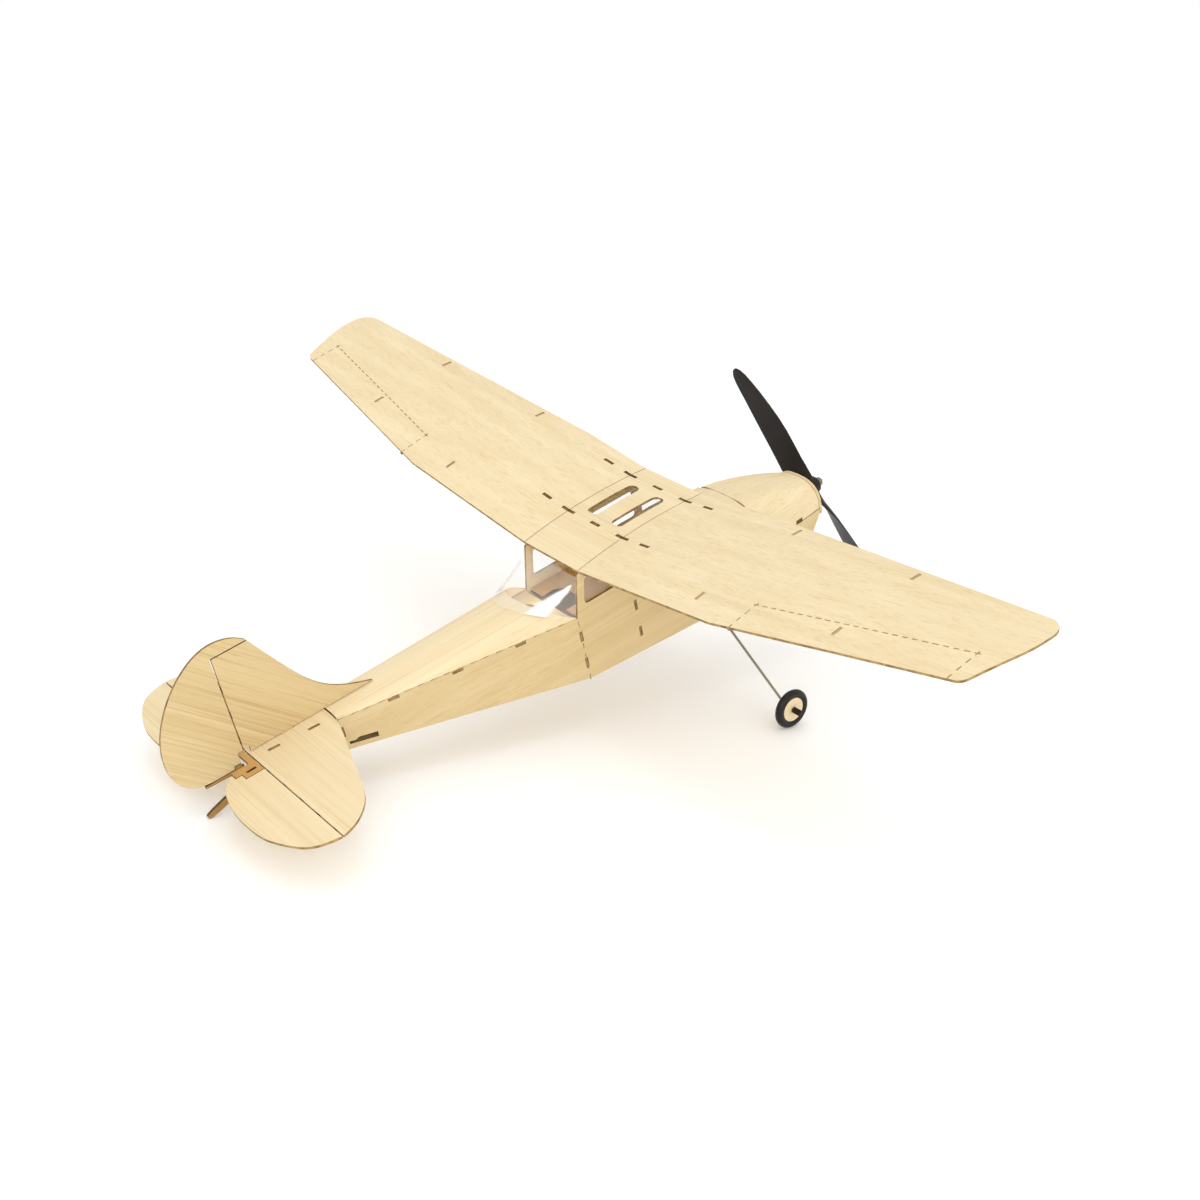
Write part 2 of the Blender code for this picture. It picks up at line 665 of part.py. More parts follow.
def side_outline():
    """Outline of a fuselage side in (Y, Z), from the nose over the cabin to the tail."""
    under_wing = [(y, wing_under(PANEL_JOINT_X, y) - GAP) for y in
                  (WING_LE_Y + 0.8, *CAMBER_STATIONS[:-1], POST_TOP_Y - 4.0, POST_TOP_Y)]
    roof = []
    half_notch = SHEET / 2 + GAP
    for y, z in under_wing:
        roof.append((y, z))
    for brace_y in (BRACE_REAR_Y, BRACE_FRONT_Y):
        floor = min(wing_under(0.0, brace_y - SHEET / 2), wing_under(0.0, brace_y + SHEET / 2))
        floor -= BRACE_DEPTH + 2 * GAP
        first, last = brace_y - half_notch, brace_y + half_notch
        roof = [point for point in roof if not first <= point[0] <= last]
        where = sum(1 for point in roof if point[0] < first)
        roof[where:where] = [(first, wing_under(PANEL_JOINT_X, first) - GAP), (first, floor),
                             (last, floor), (last, wing_under(PANEL_JOINT_X, last) - GAP)]
    pillar_foot = (DASH_REAR_Y + 1.2, DASH_JOINT_Z)
    outline = [(NOSE_Y, COWL_JOINT_Z - GAP / 2), (COWL_REAR_Y + GAP / 2, COWL_JOINT_Z - GAP / 2),
               (COWL_REAR_Y + GAP / 2, DASH_JOINT_Z), pillar_foot]
    outline += roof + [(CABIN_REAR_Y, CABIN_JOINT_Z - SIDE_TOP_DROP)]
    for tab_y in CRUTCH_TABS_Y:
        for end in (tab_y - FORMER_TAB / 2 - SLOT_FIT, tab_y + FORMER_TAB / 2 + SLOT_FIT):
            high = (end, spine_joint(end) - SIDE_TOP_DROP)
            low = (end, spine_joint(end) - SIDE_TOP_DROP - SHEET - GAP)
            outline += [high, low] if end < tab_y else [low, high]
    outline += [(DECK_REAR_Y, DECK_REAR_JOINT_Z - SIDE_TOP_DROP), (DECK_REAR_Y, TAIL_TOP_Z)]
    for tab_y in STAB_TABS_Y:
        for end in (tab_y - FORMER_TAB / 2, tab_y + FORMER_TAB / 2):
            foot = (end, TAIL_TOP_Z)
            head = (end, STAB_TOP_Z)
            outline += [foot, head] if end < tab_y else [head, foot]
    outline += [(TAIL_Y - 1.0, TAIL_TOP_Z), (TAIL_Y - 1.0, belly(TAIL_Y - 1.0))]
    outline += [(y, z) for y, z in reversed(BELLY_LINE[:-1])]
    return outline


def side_windows():
    """The three glazed openings of a cabin side, between its posts."""
    post = WINDOW_POST / 2
    sill, head, corner, small = WINDOW_SILL_Z, WINDOW_HEAD_Z, WINDOW_ROUND, WINDOW_FRONT_ROUND
    rear_head = head - 1.0
    windows = [
        [(DASH_REAR_Y + WINDSCREEN_LEAN, sill, small), (BRACE_FRONT_Y - post, sill, small),
         (BRACE_FRONT_Y - post, head, small), (WING_LE_Y + 4.2, head, small)],
        [(BRACE_FRONT_Y + post, sill, corner), (BRACE_REAR_Y - post, sill, corner),
         (BRACE_REAR_Y - post, head, corner), (BRACE_FRONT_Y + post, head, corner)],
        [(BRACE_REAR_Y + post, sill, corner), (rear_post(sill), sill, corner),
         (rear_post(rear_head), rear_head, corner), (BRACE_REAR_Y + post, head, corner)],
    ]
    return [rounded(window, steps=3) for window in windows]


def rear_post(z):
    """Front edge of the rearmost cabin post at a height."""
    post_top_z = wing_under(PANEL_JOINT_X, POST_TOP_Y) - GAP
    lean = (CABIN_REAR_Y - POST_TOP_Y) * (post_top_z - z) / (post_top_z - CABIN_JOINT_Z)
    return POST_TOP_Y + lean - POST_WIDTH


def pushrod_exit():
    """Stepped slot low on the tail where a pushrod would come out."""
    front, step, slope, rear = PUSHROD_EXIT_Y
    low, high, ledge = PUSHROD_EXIT_RISE
    return [(rear, belly(rear) + low), (front, belly(front) + low), (front, belly(front) + high),
            (step, belly(step) + high), (slope, belly(slope) + ledge), (rear, belly(rear) + ledge)]


def fuselage_side(side):
    """Balsa side sheet, bent in at the shoulder and behind the cabin."""
    holes = side_windows() + former_slots(BRACE_REAR_Y, MID_FORMER_TABS_Z)
    holes += former_slots(CABIN_REAR_Y, REAR_FORMER_TABS_Z)
    holes += former_slots(TAIL_FORMER_Y, [TAIL_FORMER_TAB_Z]) + [pushrod_exit()]
    return sheet(side_outline(), holes, SHEET,
                 lambda u, v, w: (side * (half_width(u) - SHEET + w), u, v),
                 bends=[(0, (SHOULDER_Y, CABIN_REAR_Y))])


def former_outline(y, thickness, top_points, tab_heights=(), floor=SHEET):
    """Former between the sides: a flat foot, straight cheeks with tabs, and a given top.

    top_points runs from starboard to port.
    """
    stations = (y - thickness / 2, y + thickness / 2)
    wide = min(inside(station) for station in stations)
    foot = max(belly(station) for station in stations) + floor + GAP
    reach = min(half_width(station) for station in stations)
    cheek = []
    for z in sorted(tab_heights):
        cheek += [(wide, z - FORMER_TAB / 2), (reach, z - FORMER_TAB / 2),
                  (reach, z + FORMER_TAB / 2), (wide, z + FORMER_TAB / 2)]
    port = [(wide, foot)] + cheek
    return port + list(reversed(top_points)) + mirrored(port)


def former(y, thickness, top_points, holes=(), tab_heights=(), floor=SHEET):
    outline = former_outline(y, thickness, top_points, tab_heights, floor)
    return sheet(outline, list(holes), thickness, across(y - thickness / 2))


def flat_top(y, thickness, z):
    wide = min(inside(y - thickness / 2), inside(y + thickness / 2))
    return [(-wide, z), (wide, z)]


def arched_top(y, thickness, arch, inset, sides=14):
    """Former top that follows an arch from inside, starboard to port."""
    wide = min(inside(y - thickness / 2), inside(y + thickness / 2))
    points = []
    for k in range(sides + 1):
        angle = pi * (1 - k / sides)
        heights = [arch(station, angle, inset) for station in (y - thickness / 2, y + thickness / 2)]
        x = max(-wide, min(wide, heights[0][0]))
        points.append((x, min(point[2] for point in heights)))
    return points



def add_formers(airframe):
    below_tray = TRAY_TOP_Z - THIN_PLY - GAP
    motor_y = NOSE_Y + MOTOR_FORMER_SETBACK
    shaft_hole = circle(0.0, THRUST_Z, MOTOR_RADIUS * 0.5 + GAP, 20)
    cowl_inset = SHEET + GAP
    airframe.add("motor_former", former(
        motor_y, PLY, arched_top(motor_y, PLY, cowl_arch, cowl_inset),
        [shaft_hole], floor=SHEET + 0.6), "plywood")
    cable_hole = circle(0.0, CABLE_HOLE_Z, CABLE_HOLE_RADIUS, 20)
    dash_top = [(x, dash_height(x, COWL_REAR_Y) - SHEET - GAP - 0.1)
                for x in np.linspace(-inside(COWL_REAR_Y) + 1.8, inside(COWL_REAR_Y) - 1.8, 9)]
    airframe.add("dash_former", former(COWL_REAR_Y, SHEET, dash_top, [cable_hole]), "balsa")
    for y, name, tabs, floor in ((BRACE_FRONT_Y, "front_cabin_former", (), PLY),
                                 (BRACE_REAR_Y, "mid_cabin_former", MID_FORMER_TABS_Z, SHEET),
                                 (CABIN_REAR_Y, "rear_cabin_former", REAR_FORMER_TABS_Z, SHEET)):
        (left, low), (right, high) = FORMER_WINDOW
        window = rounded([(left, low, 3.0), (right, low, 3.0), (right, high, 3.0), (left, high, 3.0)])
        made = former(y, SHEET, flat_top(y, SHEET, below_tray), [window], tabs, floor)
        airframe.add(name, made, "balsa")
    tail_top = flat_top(TAIL_FORMER_Y, SHEET, DECK_REAR_JOINT_Z - SHEET - 2 * GAP - 0.2)
    airframe.add("tail_former", former(TAIL_FORMER_Y, SHEET, tail_top, [],
                                       (TAIL_FORMER_TAB_Z,)), "balsa")
    post_front = TAIL_Y - STERNPOST_SETBACK - STERNPOST_DEPTH / 2
    wide = inside(post_front + STERNPOST_DEPTH)
    post = [(-wide, STERNPOST_FOOT_Z), (wide, STERNPOST_FOOT_Z), (wide, TAIL_TOP_Z), (-wide, TAIL_TOP_Z)]
    airframe.add("sternpost", sheet(post, [], STERNPOST_DEPTH, across(post_front)), "balsa")


def nose_plate():
    """Front plate that closes the cowl, with the shaft hole."""
    front = NOSE_Y - GAP
    top = [cowl_arch(NOSE_Y, pi * k / 16)[::2] for k in range(17)]
    base = [(-NOSE_HALF_WIDTH, NOSE_FOOT_Z, 3.0), (NOSE_HALF_WIDTH, NOSE_FOOT_Z, 3.0)]
    outline = top[1:-1] + rounded([top[-1], *base, top[0]], steps=4)
    hole = circle(0.0, THRUST_Z, NOSE_HOLE_RADIUS, 20)
    return sheet(outline, [hole], NOSE_PLATE, across(front - NOSE_PLATE))


def floor_sheet(front, rear, thickness, hole=None):
    """Bottom sheet between the sides, following the belly line."""
    knots = [front] + [y for y, _ in BELLY_LINE + WIDTH_LINE if front < y < rear] + [rear]
    knots = sorted(set(knots))
    port = [(inside(y), y) for y in knots]
    holes = [hole] if hole else []
    return sheet(port + mirrored(port), holes, thickness,
                 lambda u, v, w: (u, v, belly(v) + w), bends=[(1, knots[1:-1])])


def add_bottom(airframe):
    plate_front, plate_rear = GEAR_PLATE_Y
    airframe.add("nose_bottom", floor_sheet(NOSE_Y + GAP, plate_front - GAP, SHEET), "balsa")
    airframe.add("gear_plate", floor_sheet(plate_front, plate_rear, PLY), "plywood")
    airframe.add("cabin_belly", floor_sheet(plate_rear + GAP, CABIN_REAR_Y - GAP / 2, SHEET), "balsa")
    airframe.add("tail_bottom", floor_sheet(CABIN_REAR_Y + GAP / 2, SKID_FRONT_Y - 0.5, SHEET), "balsa")


def cowl_deck():
    """Wrapped cowl sheet, open below, from the nose plate to the dash former."""
    stations = np.linspace(NOSE_Y, COWL_REAR_Y - GAP / 2, 7)
    grid = [[cowl_arch(y, pi * k / 28) for k in range(29)] for y in stations]
    return shell(grid, SHEET)


def dash_deck():
    """Short domed deck between the cowl and the windscreen, lying on the sides."""
    grid = []
    for y in np.linspace(COWL_REAR_Y + GAP / 2, DASH_REAR_Y, 3):
        wide = half_width(y)
        grid.append([(x, y, max(dash_height(x, y), DASH_JOINT_Z + SHEET + GAP))
                     for x in np.linspace(wide, -wide, 21)])
    return shell(grid, SHEET)


def turtle_deck():
    """Rolled deck behind the cabin, cut back in a U under the rear window."""
    grid = []
    for j in range(9):
        row = []
        for k in range(25):
            angle = pi * k / 24
            start = CABIN_REAR_Y + GAP + REAR_WINDOW_CUT * sin(angle) ** 0.8
            y = start + (DECK_REAR_Y - start) * j / 8
            row.append(deck_arch(y, angle))
        grid.append(row)
    return shell(grid, SHEET)


def windscreen():
    """Clear wrap from the dash deck up to the wing's leading edge."""
    lift = GAP + GLAZING
    top_y = WING_LE_Y - GAP
    grid = []
    for j in range(3):
        t = j / 2
        row = []
        for k in range(21):
            share = 1 - k / 10
            foot_x = share * (half_width(DASH_REAR_Y) - 0.4)
            foot = Vector((foot_x, DASH_REAR_Y - 1.5, dash_height(foot_x, DASH_REAR_Y - 1.5) + lift))
            head = Vector((share * (PANEL_JOINT_X - 0.4), top_y, wing_top(0.0, WING_LE_Y) - 0.2))
            row.append(foot.lerp(head, t))
        grid.append(row)
    return shell(grid, GLAZING)


def rear_window():
    """Clear fairing from the wing's trailing edge down onto the turtle deck."""
    head_y = POST_TOP_Y + 0.6
    head_z = wing_under(0.0, WING_TE_Y) - 1.2
    grid = []
    for j in range(5):
        row = []
        for k in range(29):
            angle = pi * k / 28
            y = CABIN_REAR_Y + 0.9 + REAR_WINDOW_LAP * sin(angle) ** 0.8
            x, _, z = deck_arch(y, angle, -(GAP + GLAZING))
            foot = Vector((x, y, z + GAP))
            share = cos(angle)
            head = Vector((share * half_width(CABIN_REAR_Y), head_y, head_z))
            row.append(head.lerp(foot, j / 4))
        grid.append(row)
    return shell(grid, GLAZING)


def side_glazing(side):
    """Clear sheet behind the three windows of one cabin side."""
    low, high = WINDOW_SILL_Z - 1.4, WINDOW_HEAD_Z + 0.9
    depth = SHEET + GAP + GLAZING
    outline = [(DASH_REAR_Y + 4.5, low), (rear_post(low) + 1.6, low), (rear_post(high) + 1.6, high),
               (WING_LE_Y + 3.2, high)]
    return sheet(outline, [], GLAZING, lambda u, v, w: (side * (half_width(u) - depth + w), u, v),
                 bends=[(0, (SHOULDER_Y,))])


def equipment_tray():
    """Plywood tray under the cabin sill, with two strap slots."""
    front, rear = TRAY_FRONT_Y, CABIN_REAR_Y - 1.2
    wide = inside(front) - 0.2
    notch, depth = TRAY_NOTCH
    outline = rounded([(-wide, front), (wide, front), (wide, rear), (notch, rear),
                       (notch, rear - depth, 4.0), (-notch, rear - depth, 4.0), (-notch, rear),
                       (-wide, rear)], steps=3)
    slot_x, slot_y = TRAY_SLOT_PLACE
    holes = [box_hole(side * slot_x, slot_y, *TRAY_SLOT_SIZE) for side in (-1, 1)]
    return sheet(outline, holes, THIN_PLY, level(TRAY_TOP_Z - THIN_PLY))


def tail_crutch():
    """Balsa crutch along the deck joint, whose tabs come out through the sides."""
    port = [(inside(CABIN_REAR_Y + 1.0), CABIN_REAR_Y + 1.0)]
    for tab_y in CRUTCH_TABS_Y:
        first, last = tab_y - FORMER_TAB / 2, tab_y + FORMER_TAB / 2
        port += [(inside(first), first), (half_width(first), first),
                 (half_width(last), last), (inside(last), last)]
    rear = TAIL_FORMER_Y - SHEET
    port.append((inside(rear), rear))
    holes = [circle(0.0, y, inside(y) - CRUTCH_HOLE_WALL, 16) for y in CRUTCH_HOLES_Y]
    return sheet(port + mirrored(port), holes, SHEET,
                 lambda u, v, w: (u, v, spine_joint(v) - GAP - SHEET + w))


def add_fuselage(airframe):
    for side, hand in ((1, "left"), (-1, "right")):
        airframe.add("fuselage_side_" + hand, fuselage_side(side), "balsa")
        airframe.add("side_window_" + hand, side_glazing(side), "acetate")
    airframe.add("nose_plate", nose_plate(), "balsa")
    airframe.add("cowl_deck", cowl_deck(), "balsa", smooth_angle=30)
    airframe.add("dash_deck", dash_deck(), "balsa", smooth_angle=30)
    airframe.add("turtle_deck", turtle_deck(), "balsa", smooth_angle=30)
    airframe.add("windscreen", windscreen(), "acetate", smooth_angle=30)
    airframe.add("rear_window", rear_window(), "acetate", smooth_angle=30)
    airframe.add("equipment_tray", equipment_tray(), "plywood")
    airframe.add("tail_crutch", tail_crutch(), "balsa")


# ---------------------------------------------------------------------------
# Tail
# ---------------------------------------------------------------------------

def stabilizer():
    """Flat tailplane, slotted for the tabs of the sides and of the fin."""
    half = HINGE_GAP / 2
    root_round, front_round, tip_round = STAB_ROUND
    inset, ahead = STAB_SHOULDER
    tip = rounded([(0.0, STAB_FRONT_Y), (10.5, STAB_FRONT_Y, root_round),
                   (STAB_HALF_SPAN - inset, TAIL_Y - ahead, front_round),
                   (STAB_HALF_SPAN, STAB_TIP_Y, tip_round), (STAB_HALF_SPAN, ELEVATOR_HINGE_Y - half)], steps=5)
    outline = tip[1:] + mirrored(tip[1:])
    holes = []
    for y in STAB_TABS_Y:
        first, last = y - FORMER_TAB / 2 - SLOT_FIT, y + FORMER_TAB / 2 + SLOT_FIT
        outer, inner = SLOT_FIT, -SHEET - SLOT_FIT
        slot = [(half_width(first) + outer, first), (half_width(last) + outer, last),
                (half_width(last) + inner, last), (half_width(first) + inner, first)]
        holes += [slot, mirrored(slot)]
    holes.append(box_hole(0.0, FIN_TAB_Y, SHEET + 2 * SLOT_FIT, TAB_LENGTH + 2 * SLOT_FIT))
    return sheet(outline, holes, SHEET, level(STAB_TOP_Z - SHEET))


def fin():
    """Fixed fin with a long dorsal fillet and a tab into the tailplane."""
    half = HINGE_GAP / 2
    leading = flowing([(FIN_FRONT_Y, FIN_BASE_Z), *[(RUDDER_HINGE_Y + y, z) for y, z in FIN_LEADING],
                       (BALANCE_FRONT_Y - 0.2, FIN_TOP_Z - half)])
    rear = RUDDER_HINGE_Y - half
    notch, rise = FIN_FOOT_NOTCH
    tab = TAB_LENGTH / 2
    outline = leading + [(rear, FIN_TOP_Z - half), (rear, FIN_BASE_Z + rise),
                         (rear - notch, FIN_BASE_Z + rise), (rear - notch, FIN_BASE_Z),
                         (FIN_TAB_Y + tab, FIN_BASE_Z),
                         (FIN_TAB_Y + tab, STAB_TOP_Z - SHEET), (FIN_TAB_Y - tab, STAB_TOP_Z - SHEET),
                         (FIN_TAB_Y - tab, FIN_BASE_Z)]
    return sheet(outline, [], SHEET, lengthwise(-SHEET / 2))


def tail_skid():
    """Plywood skid set in the end of the fuselage."""
    tip_y, tip_z = SKID_TIP
    upper, lower = SKID_ROOT_Z
    outline = rounded([(SKID_FRONT_Y, upper), (TAIL_Y, upper), (tip_y - 2.0, tip_z + 2.6),
                       (tip_y + 0.9, tip_z + 1.3, 0.6), (tip_y, tip_z), (tip_y - 3.0, tip_z + 0.3),
                       (TAIL_Y, upper - 3.0), (SKID_FRONT_Y, lower)], steps=3)
    return sheet(outline, [], SKID_THICKNESS, lengthwise(-SKID_THICKNESS / 2))


def rudder():
    """Balanced rudder, notched at the front to clear the elevator joiner."""
    half = HINGE_GAP / 2
    front = RUDDER_HINGE_Y + half
    cut = RUDDER_HINGE_Y + RUDDER_FRONT_CUT
    trailing = flowing([(RUDDER_HINGE_Y + y, z) for y, z in RUDDER_TRAILING])
    outline = [(front, FIN_TOP_Z + half), (BALANCE_FRONT_Y, FIN_TOP_Z + half), *trailing,
               (INSERT_REAR_Y + GAP, INSERT_TOP_Z + GAP), (INSERT_TAB_REAR_Y + GAP, INSERT_TOP_Z + GAP),
               (INSERT_TAB_REAR_Y + GAP, INSERT_TAB_Z + GAP), (cut, INSERT_TAB_Z + GAP),
               (cut, FIN_BASE_Z + FIN_FOOT_NOTCH[1]), (front, FIN_BASE_Z + FIN_FOOT_NOTCH[1])]
    return sheet(outline, [], SHEET, lengthwise(-SHEET / 2))


def rudder_insert():
    """Plywood strip let into the foot of the rudder."""
    cut = RUDDER_HINGE_Y + RUDDER_FRONT_CUT
    thin, thick = INSERT_DEPTH
    outline = [(cut - thin, INSERT_TOP_Z), (cut, INSERT_TOP_Z), (cut, INSERT_TAB_Z),
               (INSERT_TAB_REAR_Y, INSERT_TAB_Z), (INSERT_TAB_REAR_Y, INSERT_TOP_Z),
               (INSERT_REAR_Y, INSERT_TOP_Z), (INSERT_REAR_Y, INSERT_TOP_Z - thin),
               (cut - thin, INSERT_TOP_Z - thick)]
    return sheet(outline, [], SHEET, lengthwise(-SHEET / 2))


def joiner():
    """Plywood U that joins the elevators behind the hinge, with the horn slot."""
    near, far = JOINER_LEG_X
    step, middle, rear = JOINER_STEPS
    front = ELEVATOR_HINGE_Y + HINGE_GAP / 2
    port = [(far, front), (far, front + middle), (far - step, front + middle), (far - step, front + rear),
            (near, front + rear), (near, front + JOINER_BAR)]
    horn = box_hole(-(near + far) / 2 - 0.4, front + middle / 2, *HORN_SLOT)
    return sheet(port + mirrored(port), [horn], SHEET, level(STAB_TOP_Z - SHEET))


def elevator(side):
    """One elevator, cut to fit round its leg of the joiner."""
    near, far = JOINER_LEG_X
    front = ELEVATOR_HINGE_Y + HINGE_GAP / 2
    step, middle, rear = JOINER_STEPS
    (corner_reach, corner_back, corner_round), (foot_reach, foot_back) = ELEVATOR_INNER
    foot = (near + foot_reach, ELEVATOR_HINGE_Y + foot_back)
    inner = [foot, (near + foot_reach, front + rear + GAP), (far - step + GAP, front + rear + GAP),
             (far - step + GAP, front + middle + GAP), (far + GAP, front + middle + GAP), (far + GAP, front)]
    rear_edge = [(STAB_HALF_SPAN - inset, ELEVATOR_HINGE_Y + back, radius)
                 for inset, back, radius in (ELEVATOR_TIP, *ELEVATOR_REAR)]
    corner = (near + corner_reach, ELEVATOR_HINGE_Y + corner_back, corner_round)
    trailing = rounded([(STAB_HALF_SPAN, front), *rear_edge, corner, foot], steps=5)
    outline = trailing[:-1] + inner
    if side < 0:
        outline = mirrored(outline)
    return sheet(outline, [], SHEET, level(STAB_TOP_Z - SHEET))


def add_tail(airframe):
    airframe.add("stabilizer", stabilizer(), "balsa")
    airframe.add("fin", fin(), "balsa")
    airframe.add("tail_skid", tail_skid(), "plywood")
    rudder_body = Body("rudder_hinge", (0.0, RUDDER_HINGE_Y, 0.0), airframe)
    rudder_body.add("rudder", rudder(), "balsa")
    rudder_body.add("rudder_insert", rudder_insert(), "plywood")
    elevator_body = Body("elevator_hinge", (0.0, ELEVATOR_HINGE_Y, STAB_TOP_Z - SHEET / 2), airframe)
    elevator_body.add("elevator_joiner", joiner(), "plywood")
    for side, hand in ((1, "left"), (-1, "right")):
        elevator_body.add("elevator_" + hand, elevator(side), "balsa")


# ---------------------------------------------------------------------------
# Motor and propeller
# ---------------------------------------------------------------------------

def along_thrust(y_from):
    """Place a turned piece on the thrust line: height runs forward from a station."""
    return lambda x, z, height: (x, y_from - height, THRUST_Z + z)


def motor():
    """Small can motor behind the motor former, with its front boss."""
    former_rear = NOSE_Y + MOTOR_FORMER_SETBACK + PLY / 2 + GAP
    rear = former_rear + MOTOR_LENGTH
    length = MOTOR_LENGTH
    bore = SHAFT_RADIUS + AXLE_CLEARANCE
    boss = MOTOR_RADIUS * 0.5
    profile = [(bore, 1.0), (MOTOR_RADIUS - 0.6, 1.0), (MOTOR_RADIUS, 1.6), (MOTOR_RADIUS, length - 0.6),
               (MOTOR_RADIUS - 0.6, length), (boss, length), (boss, length + MOTOR_BOSS),
               (bore, length + MOTOR_BOSS)]
    return turned(profile, along_thrust(rear), sides=28)


def prop_shaft():
    front = PROP_Y - HUB_LENGTH / 2 - SHAFT_END
    rear = NOSE_Y + MOTOR_FORMER_SETBACK + PLY / 2 + MOTOR_LENGTH + 1.2
    length = rear - front
    profile = [(0.0, 0.0), (SHAFT_RADIUS, 0.0), (SHAFT_RADIUS, length - 0.4), (SHAFT_RADIUS - 0.3, length),
               (0.0, length)]
    return turned(profile, along_thrust(rear), sides=16)


def prop_collar():
    """Adaptor sleeve between the motor and the hub."""
    bore = SHAFT_RADIUS + GAP
    rear = PROP_Y + HUB_LENGTH / 2 + COLLAR_LENGTH + GAP
    profile = [(bore, 0.0), (2.0, 0.0), (2.0, 2.4), (2.8, 2.6), (2.8, COLLAR_LENGTH), (bore, COLLAR_LENGTH)]
    return turned(profile, along_thrust(rear), sides=20)


def prop_nut():
    bore = SHAFT_RADIUS + GAP
    rear = PROP_Y - HUB_LENGTH / 2 - GAP
    profile = [(bore, 0.0), (1.9, 0.0), (1.9, 1.8), (1.3, 2.4), (bore, 2.4)]
    return turned(profile, along_thrust(rear), sides=12)


def blade_section(share, ahead, behind):
    """Closed airfoil loop of one blade at a share of its radius: (chordwise, thickness) points."""
    root, tip = BLADE_THICKNESS
    thick = tip + (root - tip) * (1 - share)
    count = 7
    upper = []
    lower = []
    for k in range(count):
        t = k / (count - 1)
        hump = sin(pi * t ** 0.75)
        upper.append((ahead - (ahead + behind) * t, 0.12 + thick * hump))
        lower.append((-behind + (ahead + behind) * t, -0.12 - 0.12 * thick * sin(pi * (1 - t))))
    return upper + lower


def blade(turn):
    """Twisted blade lofted from the hub to the tip, turned about the thrust line."""
    bm = bmesh.new()
    rings = []
    for share, ahead, behind in BLADE_OUTLINE:
        radius = share * PROP_RADIUS
        twist = atan2(PROP_PITCH, 2 * pi * max(radius, BLADE_TWIST_FROM))
        ring = []
        for chordwise, thickness in blade_section(share, ahead * PROP_RADIUS, behind * PROP_RADIUS):
            sideways = chordwise * cos(twist) + thickness * sin(twist)
            forward = thickness * cos(twist) - chordwise * sin(twist)
            x = sideways * cos(turn) + radius * sin(turn)
            z = radius * cos(turn) - sideways * sin(turn)
            ring.append(bm.verts.new((x, PROP_Y - forward, THRUST_Z + z)))
        rings.append(ring)
    for first, second in zip(rings, rings[1:]):
        for k in range(len(first)):
            after = (k + 1) % len(first)
            bm.faces.new((first[k], first[after], second[after], second[k]))
    bm.faces.new(rings[0])
    bm.faces.new(rings[-1])
    bmesh.ops.triangulate(bm, faces=bm.faces[:])
    return to_mesh(bm)


def add_propeller(airframe):
    airframe.add("motor", motor(), "motor_can", smooth_angle=30)
    spinning = Body("propeller_axis", (0.0, PROP_Y, THRUST_Z), airframe)
    bore = SHAFT_RADIUS + GAP
    half = HUB_LENGTH / 2
    edge = 0.6
    hub_profile = [(bore, 0.0), (HUB_RADIUS - edge, 0.0), (HUB_RADIUS, edge), (HUB_RADIUS, HUB_LENGTH - edge),
                   (HUB_RADIUS - edge, HUB_LENGTH), (bore, HUB_LENGTH)]
    hub = spinning.add("propeller", turned(hub_profile, along_thrust(PROP_Y + half), sides=28),
                       "black_plastic", smooth_angle=35)
    for number, turn in enumerate((radians(PROP_REST_ANGLE), radians(PROP_REST_ANGLE) + pi)):
        guide = spinning.add("blade_%d" % (number + 1), blade(turn), "black_plastic")
        guide.hide_render = True
        guide.display_type = "WIRE"
        join = hub.modifiers.new("blade_%d" % (number + 1), "BOOLEAN")
        join.operation = "UNION"
        join.solver = "EXACT"
        join.object = guide
    bore_guide = spinning.add("hub_bore", turned(
        [(0.0, -2.0), (bore, -2.0), (bore, HUB_LENGTH + 2.0), (0.0, HUB_LENGTH + 2.0)],
        along_thrust(PROP_Y + half), sides=28), "black_plastic")
    bore_guide.hide_render = True
    bore_guide.display_type = "WIRE"
    drill = hub.modifiers.new("bore", "BOOLEAN")
    drill.operation = "DIFFERENCE"
    drill.solver = "EXACT"
    drill.object = bore_guide
    spinning.add("prop_shaft", prop_shaft(), "steel_wire", smooth_angle=30)
    spinning.add("prop_collar", prop_collar(), "motor_can", smooth_angle=30)
    spinning.add("prop_nut", prop_nut(), "motor_can", smooth_angle=30)


# ---------------------------------------------------------------------------
# Undercarriage
# ---------------------------------------------------------------------------

def bent_wire(corners, bend):
    """Path of a wire through its corners, each bent to the same radius."""
    path = [Vector(corners[0])]
    for before, here, after in zip(corners, corners[1:], corners[2:]):
        here = Vector(here)
        back = (Vector(before) - here).normalized()
        ahead = (Vector(after) - here).normalized()
        half = acos(max(-1.0, min(1.0, back.dot(ahead)))) / 2
        reach = bend / tan(half)
        centre = here + (back + ahead).normalized() * (bend / sin(half))
        start = here + back * reach - centre
        end = here + ahead * reach - centre
        for step in range(6):
            path.append(centre + start.slerp(end, step / 5).normalized() * bend)
    path.append(Vector(corners[-1]))
    return path


